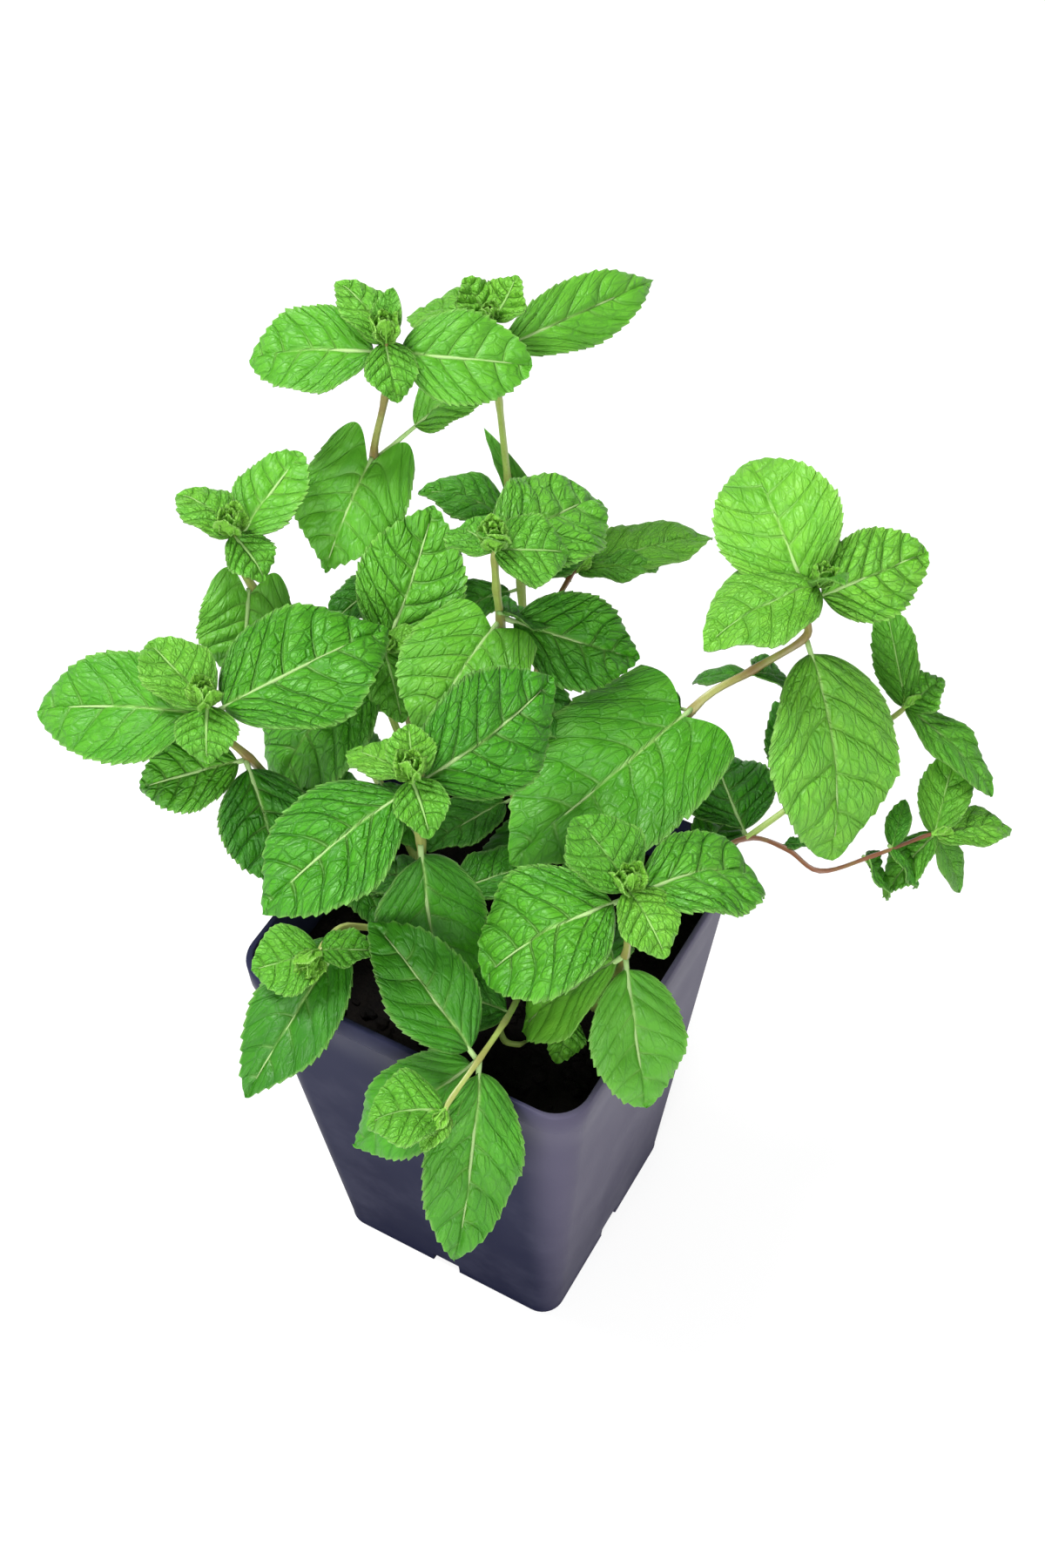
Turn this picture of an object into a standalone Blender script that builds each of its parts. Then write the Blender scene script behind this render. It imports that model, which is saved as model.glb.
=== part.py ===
"""Potted mint: a square nursery pot of potting mix with fourteen leafy shoots.

The grown leaves are pieces of their own; the young leaves of each growing tip are one piece with its bud.
Lengths are in millimetres and turned to metres as each mesh is made. The origin is the middle of the
pot's underside, +Z is up, and the pot's sides face X and Y. Angles are in degrees.
"""

import math

import bmesh
import bpy
from mathutils import Matrix, Vector

MM = 0.001
GAP = 0.3                    # left between pieces that touch

# Pot: a thin tapered shell with rounded corners, a deeper band at the rim and a notch in each foot edge.
POT_HEIGHT = 126
POT_TOP_WIDTH = 90
POT_BASE_WIDTH = 65
POT_CORNER = 6               # corner radius at the base; it grows with the taper
POT_WALL = 1.2
RIM_BAND = 7                 # height of the thicker band at the rim
RIM_STEP = 0.6               # how far the band stands out from the wall below it
NOTCH_WIDTH = 8
NOTCH_HEIGHT = 4
DRAIN_HOLE_RADIUS = 4
DRAIN_HOLE_OFFSET = 18       # from the middle, along both diagonals

# Potting mix: it fills the pot to just below the rim, a little higher in the middle.
MIX_TOP = 111
MIX_CROWN = 1.5
MIX_INSET = 1.6              # from the wall's outer face: the wall's thickness and a gap
FOOT_DEPTH = 12              # how deep each stem is planted

# Shoots. A stem is a radius and the points it grows through, from where it leaves the mix to its tip.
STEMS = {
    "tall": (1.4, [(-30, 24, 114), (-43, 32, 140), (-53, 46, 170), (-58, 52, 192), (-58, 48, 205),
                   (-55, 50, 222), (-53, 49, 236), (-53, 49, 239)]),
    "rear": (1.3, [(-4, 26, 114), (-14, 42, 136), (-30, 66, 160), (-40, 78, 180), (-42, 78, 205),
                   (-42, 76, 221), (-42, 75, 231)]),
    "west": (1.3, [(-26, 8, 114), (-40, 12, 138), (-58, 15, 164), (-71, 14, 186), (-72, 12, 195),
                   (-71, 10, 203), (-71, 10, 206)]),
    "middle": (1.4, [(-2, 12, 114), (-6, 20, 142), (-12, 28, 172), (-14, 29, 190), (-13, 26, 203),
                     (-12, 24, 214), (-12, 24, 217)]),
    "left": (1.4, [(-28, -6, 114), (-36, -10, 135), (-44, -16, 156), (-51, -20, 172), (-54, -24, 182),
                   (-55, -26, 190), (-55, -26, 193)]),
    "centre": (1.4, [(-8, -4, 114), (-7, -12, 140), (-6, -20, 161), (-5, -22, 172), (-5, -24, 184),
                     (-4, -25, 194), (-4, -25, 197)]),
    "right": (1.4, [(14, 16, 114), (18, 28, 140), (27, 45, 166), (36, 58, 172), (44, 67, 178),
                    (44, 67, 185), (44, 68, 190), (45, 69, 194)]),
    "corner": (1.3, [(30, -6, 114), (36, -10, 132), (41, -14, 151), (42, -15, 162), (41, -14, 172),
                     (41, -14, 175)]),
    "rim": (1.1, [(12, -10, 114), (18, -22, 128), (22, -34, 138), (23, -47, 141), (22, -57, 139),
                  (22, -60, 138)]),
    "low": (1.2, [(-6, -14, 114), (-11, -22, 133), (-19, -33, 145), (-20, -40, 147), (-20, -43, 147)]),
    "runner": (1.2, [(28, 22, 114), (36, 34, 126), (44, 44, 130), (54, 45, 131), (64, 42, 132),
                     (73, 52, 132), (81, 65, 130), (83, 67, 130)]),
}
# Side stems, which branch from a point along another stem and are one piece with it.
BRANCHES = {
    "inner": ("tall", 1.2, [(-30, 24, 114), (-38, 22, 140), (-40, 18, 164), (-38, 16, 178), (-37, 16, 181)]),
    "twig": ("rear", 1.0, [(-14, 42, 136), (-22, 62, 150), (-22, 76, 158), (-21, 79, 159)]),
    "fork": ("runner", 1.0, [(44, 44, 130), (52, 56, 137), (60, 72, 146), (65, 81, 150), (66, 83, 151)]),
}

# Grown leaves, each a node of its own: the shoot, the stem point it grows from, where its own point
# lies, its width, how far its midrib arches, its roll about the midrib, and how far its lobes reach back.
LEAVES = {
    "tall_left": ("tall", 6, (-82, 37, 232), 21, 1, 30, 0),
    "tall_right": ("tall", 6, (-26, 66, 231), 22, 2, -35, 0),
    "tall_under": ("tall", 4, (-39, 71, 221), 18, 2, 0, 0),
    "tall_heart": ("tall", 4, (-57, 23, 190), 27, 2, 15, 7),
    "rear_right": ("rear", 5, (-25, 126, 215), 17, 2, -40, 0),
    "west_right": ("west", 5, (-67, 33, 214), 18, 1, 0, 0),
    "west_heart": ("west", 3, (-66, -2, 172), 23, 2, 15, 6),
    "middle_up": ("middle", 5, (-6, 61, 205), 26, 3, -20, 0),
    "middle_low_left": ("middle", 3, (-17, -1, 176), 29, 4, 15, 4),
    "middle_low_right": ("middle", 3, (13, 46, 175), 23, 3, -40, 0),
    "inner_up": ("inner", 3, (-39, 43, 202), 26, 1, -25, 0),
    "inner_down": ("inner", 3, (-52, -13, 150), 30, 3, 10, 0),
    "left_out": ("left", 5, (-95, -38, 182), 26, 1, 35, 0),
    "left_in": ("left", 5, (-34, 14, 192), 33, 3, -10, 0),
    "left_low_out": ("left", 3, (-72, -35, 165), 18, 3, 30, 0),
    "left_low_in": ("left", 3, (-37, -33, 150), 22, 2, 0, 0),
    "centre_left": ("centre", 5, (-22, -58, 178), 28, 2, 10, 0),
    "centre_right": ("centre", 5, (8, 15, 196), 28, 2, -45, 0),
    "centre_down": ("centre", 3, (5, -32, 127), 28, 1, 5, 0),
    "right_broad": ("right", 2, (8, -7, 157), 41, 4, 10, 7),
    "right_behind": ("right", 1, (-8, -2, 134), 18, 1, 0, 0),
    "right_up": ("right", 6, (18, 88, 205), 30, 5, 20, 0),
    "right_out": ("right", 6, (62, 93, 192), 22, 1, -45, 0),
    "right_hanging": ("right", 4, (67, 44, 135), 36, 4, 15, 0),
    "corner_left": ("corner", 4, (18, -37, 156), 32, 4, 10, 0),
    "corner_right": ("corner", 4, (63, 11, 160), 25, 7, 0, 0),
    "corner_down": ("corner", 2, (56, -30, 122), 23, 2, 10, 0),
    "corner_behind": ("corner", 2, (19, -25, 121), 21, 1, 0, 0),
    "rim_up": ("rim", 3, (-7, -39, 163), 22, 1, 0, 0),
    "rim_hanging": ("rim", 3, (31, -73, 98), 24, 1, 30, 0),
    "rim_behind": ("rim", 3, (-2, -64, 110), 22, 1, 20, 0),
    "low_hanging": ("low", 2, (-25, -71, 122), 22, 2, 5, 0),
    "runner_flat": ("runner", 2, (24, 67, 128), 24, 1, 0, 0),
}

# Growing tips: a bud at the end of a stem, one piece with the young leaves round it. Each young leaf is
# where its point lies, its width, arch and roll.
TIPS = {
    "tall": [((-72, 60, 240), 9, 2, 0), ((-48, 42, 229), 9, 1, 0), ((-55, 58, 248), 5, 1, 0)],
    "rear": [((-48, 84, 239), 9, 1, 0), ((-36, 84, 239), 9, 1, 0), ((-65, 76, 223), 14, 2, 0)],
    "west": [((-88, 13, 209), 11, 2, 0), ((-61, 7, 199), 10, 1, 0)],
    "middle": [((-24, 29, 214), 13, 1, 0), ((1, 34, 214), 15, 1, -20), ((-12, 20, 224), 6, 1, 0)],
    "left": [((-75, -19, 197), 14, 2, 0), ((-50, -35, 186), 12, 2, 0)],
    "centre": [((-10, -16, 202), 9, 1, 0), ((5, -33, 192), 10, 1, 0), ((-25, -18, 188), 10, 1, 0)],
    "right": [((29, 44, 190), 20, 2, 0), ((54, 60, 208), 7, 1, 0)],
    "corner": [((24, -6, 181), 17, 2, -10), ((54, -21, 168), 12, 1, 0)],
    "rim": [((8, -70, 136), 16, 2, 0), ((22, -70, 136), 6, 1, 0)],
    "low": [((-32, -53, 144), 14, 1, 30), ((-9, -37, 148), 9, 1, 0)],
    "runner": [((79, 88, 138), 11, 2, 0), ((98, 82, 125), 11, 1, 0), ((93, 66, 114), 8, 1, 0),
               ((77, 56, 116), 9, 1, 0)],
    "inner": [((-28, 8, 168), 11, 1, 0), ((-30, 22, 184), 7, 1, 0)],
    "twig": [((-1, 116, 150), 15, 2, 0), ((-5, 92, 157), 9, 1, 0)],
    "fork": [((50, 104, 161), 10, 1, 30), ((72, 90, 157), 11, 1, 0), ((92, 81, 135), 11, 3, 0)],
}
BUD_RADIUS = 1.7
BUD_HEIGHT = 5

# Leaves in general.
LEAF_THICKNESS = 0.5
PETIOLE_WIDTH = 1.5
PETIOLE_SHARE = 0.1          # of the leaf's length
LEAF_FOLD = 12               # how far each half rises from the midrib
LOBE_SHARE = 0.35            # of the leaf's length, over which the lobes reach back
EGG = 0.78                   # below 1, the blade is widest nearer its base
SHOULDER = 0.62              # the smaller this is, the fuller the blade's base
TAPER = 0.2                  # how much sharper its point is than its base
# Where the rows of a leaf's mesh lie along it, closer together where the outline turns.
GROWN_ROWS = [0, 0.1, 0.16, 0.32, 0.5, 0.7, 0.88, 1]
YOUNG_ROWS = [0, 0.12, 0.3, 0.55, 0.8, 1]

LEAF_COLOUR = (0.10, 0.36, 0.05, 1)
YOUNG_LEAF_COLOUR = (0.20, 0.46, 0.05, 1)
STEM_COLOUR = (0.30, 0.32, 0.10, 1)
POT_COLOUR = (0.05, 0.05, 0.08, 1)
MIX_COLOUR = (0.012, 0.010, 0.010, 1)


def empty_scene():
    for scene_object in list(bpy.data.objects):
        bpy.data.objects.remove(scene_object, do_unlink=True)


def new_collection(name, parent):
    collection = bpy.data.collections.new(name)
    parent.children.link(collection)
    return collection


def principled(name, colour, roughness):
    material = bpy.data.materials.new(name)
    material.use_nodes = True
    shader = material.node_tree.nodes["Principled BSDF"]
    shader.inputs["Base Color"].default_value = colour
    shader.inputs["Roughness"].default_value = roughness
    shader.inputs["Metallic"].default_value = 0
    return material


def object_from(bm, name, collection, material=None):
    """One object from a bmesh in millimetres, its faces turned outwards."""
    bmesh.ops.recalc_face_normals(bm, faces=bm.faces)
    bm.transform(Matrix.Scale(MM, 4))
    mesh = bpy.data.meshes.new(name)
    bm.to_mesh(mesh)
    bm.free()
    if material:
        mesh.materials.append(material)
    made = bpy.data.objects.new(name, mesh)
    collection.objects.link(made)
    return made


def hide_cutter(cutter):
    cutter.hide_render = True
    cutter.display_type = "WIRE"
    return cutter


def add_boolean(target, operation, cutter=None, group=None):
    boolean = target.modifiers.new(operation.title(), "BOOLEAN")
    boolean.operation = operation
    boolean.solver = "EXACT"
    if group:
        boolean.operand_type = "COLLECTION"
        boolean.collection = group
    else:
        boolean.object = cutter


# Pot and potting mix

def rounded_square(bm, width, corner):
    """A flat square face with round corners, at z = 0."""
    bmesh.ops.create_grid(bm, x_segments=1, y_segments=1, size=width / 2)
    corners = list(bm.verts)
    bmesh.ops.bevel(bm, geom=corners, offset=corner, offset_type="OFFSET", affect="VERTICES", segments=4,
                    profile=0.5, material=-1)
    return list(bm.faces)[0]


def raise_walls(bm, face, width, levels):
    """Extrudes the face's edge upwards through levels of (height, width), and returns the top loop."""
    edges = list(face.edges)
    height = 0
    for next_height, next_width in levels:
        raised = bmesh.ops.extrude_edge_only(bm, edges=edges)["geom"]
        edges = [item for item in raised if isinstance(item, bmesh.types.BMEdge)]
        verts = [item for item in raised if isinstance(item, bmesh.types.BMVert)]
        bmesh.ops.scale(bm, vec=(next_width / width, next_width / width, 1), verts=verts)
        bmesh.ops.translate(bm, vec=(0, 0, next_height - height), verts=verts)
        height, width = next_height, next_width
    return edges


def wall_width(height):
    """The pot's outer width below the rim band."""
    return POT_BASE_WIDTH + (POT_TOP_WIDTH - 2 * RIM_STEP - POT_BASE_WIDTH) * height / POT_HEIGHT


def make_pot(parts, cutters, material):
    bm = bmesh.new()
    face = rounded_square(bm, POT_BASE_WIDTH, POT_CORNER)
    band = POT_HEIGHT - RIM_BAND
    raise_walls(bm, face, POT_BASE_WIDTH, [(band - RIM_STEP, wall_width(band)),
                                           (band, POT_TOP_WIDTH - RIM_STEP), (POT_HEIGHT, POT_TOP_WIDTH)])
    pot = object_from(bm, "pot", parts, material)
    shell = pot.modifiers.new("Wall", "SOLIDIFY")
    shell.thickness = POT_WALL * MM
    shell.offset = -1
    shell.use_even_offset = True
    for axis in (0, 1):
        size = [NOTCH_WIDTH, NOTCH_WIDTH]
        size[axis] = 2 * POT_BASE_WIDTH
        for side in (-1, 1):
            bm = bmesh.new()
            place = [0, 0]
            place[axis] = side * (POT_BASE_WIDTH * 1.5 - NOTCH_WIDTH)
            box = Matrix.Translation((*place, 0)) @ Matrix.Diagonal((*size, 2 * NOTCH_HEIGHT, 1))
            bmesh.ops.create_cube(bm, size=1, matrix=box)
            notch = object_from(bm, f"notch_cutter_{axis}_{side}", cutters)
            add_boolean(pot, "DIFFERENCE", hide_cutter(notch))
    for x in (-1, 1):
        for y in (-1, 1):
            bm = bmesh.new()
            place = Matrix.Translation((x * DRAIN_HOLE_OFFSET, y * DRAIN_HOLE_OFFSET, 0))
            bmesh.ops.create_cone(bm, cap_ends=True, segments=12, radius1=DRAIN_HOLE_RADIUS,
                                  radius2=DRAIN_HOLE_RADIUS, depth=4 * POT_WALL, matrix=place)
            hole = object_from(bm, f"drain_cutter_{x}_{y}", cutters)
            add_boolean(pot, "DIFFERENCE", hide_cutter(hole))
    return pot


def make_mix(parts, cutters, material):
    """The plug of potting mix, with a hole for the foot of each stem."""
    bm = bmesh.new()
    floor = POT_WALL + GAP
    face = rounded_square(bm, POT_BASE_WIDTH, POT_CORNER)
    base = wall_width(floor) - 2 * MIX_INSET
    bmesh.ops.scale(bm, vec=(base / POT_BASE_WIDTH, base / POT_BASE_WIDTH, 1), verts=bm.verts)
    top = wall_width(MIX_TOP) - 2 * MIX_INSET
    height = MIX_TOP - floor
    crown = raise_walls(bm, face, base, [(height, top), (height + MIX_CROWN, top / 2)])
    bmesh.ops.edgeloop_fill(bm, edges=crown)
    bmesh.ops.translate(bm, vec=(0, 0, floor), verts=bm.verts)
    mix = object_from(bm, "potting_mix", parts, material)
    for shoot, (radius, points) in STEMS.items():
        bm = bmesh.new()
        x, y, _ = points[0]
        wide = radius + 2 * GAP
        bottom = MIX_TOP - FOOT_DEPTH - GAP
        place = Matrix.Translation((x, y, bottom + FOOT_DEPTH))
        bmesh.ops.create_cone(bm, cap_ends=True, segments=10, radius1=wide, radius2=wide,
                              depth=2 * FOOT_DEPTH, matrix=place)
        hole = object_from(bm, f"foot_cutter_{shoot}", cutters)
        add_boolean(mix, "DIFFERENCE", hide_cutter(hole))
    return mix


# Stems

def smooth_route(points, steps=3):
    """A rounded route through the points, with a few more between each pair (a Catmull-Rom curve)."""
    points = [Vector(point) for point in points]
    ends = [2 * points[0] - points[1]] + points + [2 * points[-1] - points[-2]]
    route = []
    for before, start, end, after in zip(ends, ends[1:], ends[2:], ends[3:]):
        for step in range(steps):
            t = step / steps
            bend = (2 * before - 5 * start + 4 * end - after) * t * t
            twist = (3 * start - before - 3 * end + after) * t * t * t
            route.append(0.5 * (2 * start + (end - before) * t + bend + twist))
    return route + [points[-1]]


def make_stem(name, radius, points, collection, material, foot):
    """A tube along the route, a little thinner at its tip, made a mesh with its ends closed."""
    route = smooth_route(points)
    if foot:
        x, y, _ = points[0]
        route.insert(0, Vector((x, y, MIX_TOP - FOOT_DEPTH)))
    curve = bpy.data.curves.new(name, "CURVE")
    curve.dimensions = "3D"
    curve.bevel_depth = radius * MM
    curve.bevel_resolution = 2
    curve.use_fill_caps = True
    spline = curve.splines.new("POLY")
    spline.points.add(len(route) - 1)
    for index, (point, place) in enumerate(zip(spline.points, route)):
        point.co = (*(place * MM), 1)
        point.radius = 1 - 0.3 * index / (len(route) - 1)
    tube = bpy.data.objects.new(name + "_curve", curve)
    collection.objects.link(tube)
    graph = bpy.context.evaluated_depsgraph_get()
    mesh = bpy.data.meshes.new_from_object(tube.evaluated_get(graph))
    bpy.data.objects.remove(tube, do_unlink=True)
    bm = bmesh.new()
    bm.from_mesh(mesh)
    bmesh.ops.remove_doubles(bm, verts=bm.verts, dist=1e-6)
    bm.transform(Matrix.Scale(1 / MM, 4))
    bpy.data.meshes.remove(mesh)
    return object_from(bm, name, collection, material)


def shoot_points(shoot):
    """The radius and points of a stem or a branch."""
    if shoot in STEMS:
        return STEMS[shoot]
    _, radius, points = BRANCHES[shoot]
    return radius, points


# Leaves

def leaf_axes(start, tip, roll):
    """The length of a leaf, and its directions: along the midrib, to its side, and out of its face."""
    chord = tip - start
    along = chord.normalized()
    side = along.cross(Vector((0, 0, 1))).normalized()
    face = side.cross(along)
    turn = Matrix.Rotation(math.radians(-roll), 3, along)
    return chord.length, along, turn @ side, turn @ face


def half_width(share, width):
    """Half the leaf's width at a share of its length: a petiole, then an egg-shaped blade."""
    blade = max(0, (share - PETIOLE_SHARE) / (1 - PETIOLE_SHARE))
    outline = max(0, math.sin(math.pi * blade ** EGG)) ** (SHOULDER + TAPER * blade)
    return max(width / 2 * outline, PETIOLE_WIDTH / 2)


def leaf_point(across, share, start, axes, width, arch, lobe):
    """Where a point of the blade lies, from -1 to 1 across it and 0 to 1 along it."""
    length, along, side, face = axes
    reach = half_width(share, width) * across
    fold = math.radians(LEAF_FOLD)
    back = 0
    if share > PETIOLE_SHARE:
        back = lobe * max(0, 1 - (share - PETIOLE_SHARE) / LOBE_SHARE) * across ** 2
    middle = start + along * (length * share - back) + face * (4 * arch * share * (1 - share))
    return middle + side * (reach * math.cos(fold)) + face * (abs(reach) * math.sin(fold))


def leaf_mesh(start, tip, width, arch, roll, lobe, rows, cells_across):
    """A blade as an open sheet: a flat grid whose rows are laid along the leaf."""
    axes = leaf_axes(start, tip, roll)
    bm = bmesh.new()
    bmesh.ops.create_grid(bm, x_segments=cells_across, y_segments=len(rows) - 1, size=1)
    for vert in bm.verts:
        row = round((vert.co.y + 1) / 2 * (len(rows) - 1))
        vert.co = leaf_point(vert.co.x, rows[row], start, axes, width, arch, lobe)
    return bm


def thicken(leaf):
    solid = leaf.modifiers.new("Thickness", "SOLIDIFY")
    solid.thickness = LEAF_THICKNESS * MM
    solid.offset = 0
    return leaf


def leaf_start(shoot, index, tip):
    """The point just off the stem's skin where a leaf's petiole begins."""
    radius, points = shoot_points(shoot)
    node = Vector(points[index])
    run = (Vector(points[index + 1]) - Vector(points[index - 1])).normalized()
    away = tip - node
    away -= run * away.dot(run)
    return node + away.normalized() * (radius + GAP)


def make_leaf(name, parts, material):
    shoot, index, point, width, arch, roll, lobe = LEAVES[name]
    tip = Vector(point)
    start = leaf_start(shoot, index, tip)
    bm = leaf_mesh(start, tip, width, arch, roll, lobe, GROWN_ROWS, 4)
    return thicken(object_from(bm, "leaf_" + name, parts, material))


def make_tip(shoot, parts, cutters, material):
    """A bud standing on the end of its stem, joined with its young leaves."""
    _, points = shoot_points(shoot)
    end = Vector(points[-1])
    run = (end - Vector(points[-2])).normalized()
    centre = end + run * (GAP + BUD_HEIGHT / 2)
    bm = bmesh.new()
    stretch = Matrix.Diagonal((BUD_RADIUS, BUD_RADIUS, BUD_HEIGHT / 2, 1))
    turn = run.to_track_quat("Z", "Y").to_matrix().to_4x4()
    bmesh.ops.create_uvsphere(bm, u_segments=8, v_segments=6, radius=1,
                              matrix=Matrix.Translation(centre) @ turn @ stretch)
    bud = object_from(bm, "tip_" + shoot, parts, material)
    young = new_collection("young_leaves_" + shoot, cutters)
    for number, (point, width, arch, roll) in enumerate(TIPS[shoot]):
        leaf = leaf_mesh(centre, Vector(point), width, arch, roll, 0, YOUNG_ROWS, 2)
        hide_cutter(thicken(object_from(leaf, f"young_{shoot}_{number}", young)))
    add_boolean(bud, "UNION", group=young)
    return bud


def build():
    empty_scene()
    parts = new_collection("potted_mint", bpy.context.scene.collection)
    cutters = new_collection("cutters", bpy.context.scene.collection)
    plastic = principled("pot_plastic", POT_COLOUR, 0.4)
    mix = principled("potting_mix", MIX_COLOUR, 0.9)
    stem = principled("stem", STEM_COLOUR, 0.5)
    leaf = principled("grown_leaf", LEAF_COLOUR, 0.5)
    young_leaf = principled("young_leaf", YOUNG_LEAF_COLOUR, 0.5)

    make_pot(parts, cutters, plastic)
    make_mix(parts, cutters, mix)
    stems = {}
    for shoot, (radius, points) in STEMS.items():
        stems[shoot] = make_stem("stem_" + shoot, radius, points, parts, stem, foot=True)
    for branch, (parent, radius, points) in BRANCHES.items():
        side = make_stem("branch_" + branch, radius, points, cutters, stem, foot=False)
        add_boolean(stems[parent], "UNION", hide_cutter(side))
    for name in LEAVES:
        make_leaf(name, parts, leaf)
    for shoot in TIPS:
        make_tip(shoot, parts, cutters, young_leaf)


build()
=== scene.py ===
# %% [markdown]
# # A potted mint plant
#
# Fresh mint for the kitchen is sold in a small square nursery pot. Eleven soft stems rise from black
# potting mix, and three of them branch. Each of the fourteen shoots carries pairs of toothed, deeply veined
# leaves and ends in a tight group of young ones. Two pale sprouts have only just woken low down.
#
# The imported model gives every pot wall, stem and leaf its place. Here each of them gets its real surface:
# leaves with sunken veins and saw-toothed margins, square stems, crumbling peat and moulded plastic.
# All lengths are in metres, but sizes are written in millimetres and multiplied by `MM`.

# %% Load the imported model
import math
import random

import bmesh
import bpy
from mathutils import Matrix, Vector, noise


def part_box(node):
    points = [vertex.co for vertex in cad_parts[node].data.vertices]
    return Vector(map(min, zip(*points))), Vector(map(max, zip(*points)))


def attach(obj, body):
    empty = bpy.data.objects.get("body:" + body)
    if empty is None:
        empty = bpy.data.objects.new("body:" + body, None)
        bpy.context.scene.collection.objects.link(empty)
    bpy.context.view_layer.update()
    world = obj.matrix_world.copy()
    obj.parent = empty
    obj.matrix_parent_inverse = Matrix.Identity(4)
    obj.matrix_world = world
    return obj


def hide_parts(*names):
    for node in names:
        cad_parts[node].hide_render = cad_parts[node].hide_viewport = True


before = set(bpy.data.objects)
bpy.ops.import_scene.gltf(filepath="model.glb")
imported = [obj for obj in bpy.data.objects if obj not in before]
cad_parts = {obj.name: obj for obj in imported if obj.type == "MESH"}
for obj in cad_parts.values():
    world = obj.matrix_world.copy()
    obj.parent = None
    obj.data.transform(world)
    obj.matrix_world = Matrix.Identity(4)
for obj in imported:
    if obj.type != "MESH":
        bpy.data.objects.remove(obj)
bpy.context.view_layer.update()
MM = 0.001
UP = Vector((0, 0, 1))
print(len(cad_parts), "solids in the packed model")

# %% [markdown]
# ## The camera
#
# The plant is looked at from above and from the front right, as from a standing person's eyes. A camera
# looks along its own -Z, so its matrix has the directions of right, up and backwards as columns.

# %% Place the camera
def add_object(name, data):
    """An object in the scene, from a mesh, a lamp or a camera."""
    item = bpy.data.objects.new(name, data)
    bpy.context.scene.collection.objects.link(item)
    return item


VIEW_RIGHT = Vector((0.8714, 0.4904, -0.0119))
VIEW_UP = Vector((-0.3702, 0.6734, 0.6399))
VIEW_BACK = VIEW_RIGHT.cross(VIEW_UP)
camera_lens = bpy.data.cameras.new("camera")
camera_lens.sensor_fit = "VERTICAL"
camera_lens.sensor_height = 36
camera_lens.lens = 50
camera_lens.clip_start = 10 * MM
camera = add_object("camera", camera_lens)
camera.matrix_world = Matrix((VIEW_RIGHT, VIEW_UP, VIEW_BACK)).transposed().to_4x4()
camera.location = Vector((160.5, -262.5, 540.3)) * MM
bpy.context.scene.camera = camera
print("the camera is", round(camera.location.length / MM), "mm from the foot of the pot")

# %% [markdown]
# ## Helpers for finishes
#
# Colours are written as they look on a screen, as sRGB hex, but shaders add light in linear values. One
# function turns a colour to linear, and one adds a shader node with its settings and its links.

# %% Colour and node helpers
SHARE, FIRST, SECOND = 0, 6, 7  # a Mix node's sockets when it mixes colours


def colour(hex_value):
    """A linear RGBA colour from an sRGB hex value such as "#66b748"."""
    parts = [int(hex_value[i:i + 2], 16) / 255 for i in (1, 3, 5)]
    return [p / 12.92 if p <= 0.04045 else ((p + 0.055) / 1.055) ** 2.4 for p in parts] + [1]


def add_node(tree, kind, inputs=None, **settings):
    """Adds a node. Its inputs are values, or sockets or nodes to link: a node by its first output in use."""
    node = tree.nodes.new("ShaderNode" + kind)
    for name, value in settings.items():
        setattr(node, name, value)
    for name, value in (inputs or {}).items():
        if isinstance(value, bpy.types.Node):
            value = next(output for output in value.outputs if output.enabled)
        if isinstance(value, bpy.types.NodeSocket):
            tree.links.new(value, node.inputs[name])
        else:
            node.inputs[name].default_value = value
    return node


def new_material(name):
    """An empty node material and its tree."""
    material = bpy.data.materials.new(name)
    material.use_nodes = True
    material.node_tree.nodes.clear()
    return material, material.node_tree


print("a mid leaf green is", [round(c, 3) for c in colour("#66b748")])

# %% [markdown]
# ## The floor and the light
#
# The plant stands on a light table, as small goods do for a catalogue: a white acrylic sheet, lit a little
# from below, so the shadow on it is faint and there is no horizon. A big soft lamp above and to the left is
# the key light, which models the veins. One in front lights the leaves that hang, and a wide weak one at
# the right keeps the shade open.

# %% Lay the floor
FLOOR_REACH = 30000  # in mm, so far that its end is never seen
TABLE_GLOW = 0.77


def mesh_of(bm, name):
    """A mesh in metres from a bmesh in millimetres, which is used up."""
    bm.transform(Matrix.Scale(MM, 4))
    mesh = bpy.data.meshes.new(name)
    bm.to_mesh(mesh)
    bm.free()
    return mesh


acrylic, tree = new_material("white_acrylic_light_table")
shader = add_node(tree, "BsdfPrincipled", {
    "Base Color": colour("#959595"), "Roughness": 0.9, "Specular IOR Level": 0.1,
    "Emission Color": (1, 1, 1, 1), "Emission Strength": TABLE_GLOW})
add_node(tree, "OutputMaterial", {0: shader})
floor_grid = bmesh.new()
bmesh.ops.create_grid(floor_grid, x_segments=1, y_segments=1, size=FLOOR_REACH)
floor = add_object("floor", mesh_of(floor_grid, "floor"))
floor.data.materials.append(acrylic)
print("the floor is", round(floor.dimensions.x), "m wide")

# %% Set the world and the lamps
bpy.context.scene.view_settings.view_transform = "Standard"
world = bpy.data.worlds.new("white_studio")
bpy.context.scene.world = world
world.use_nodes = True
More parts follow.
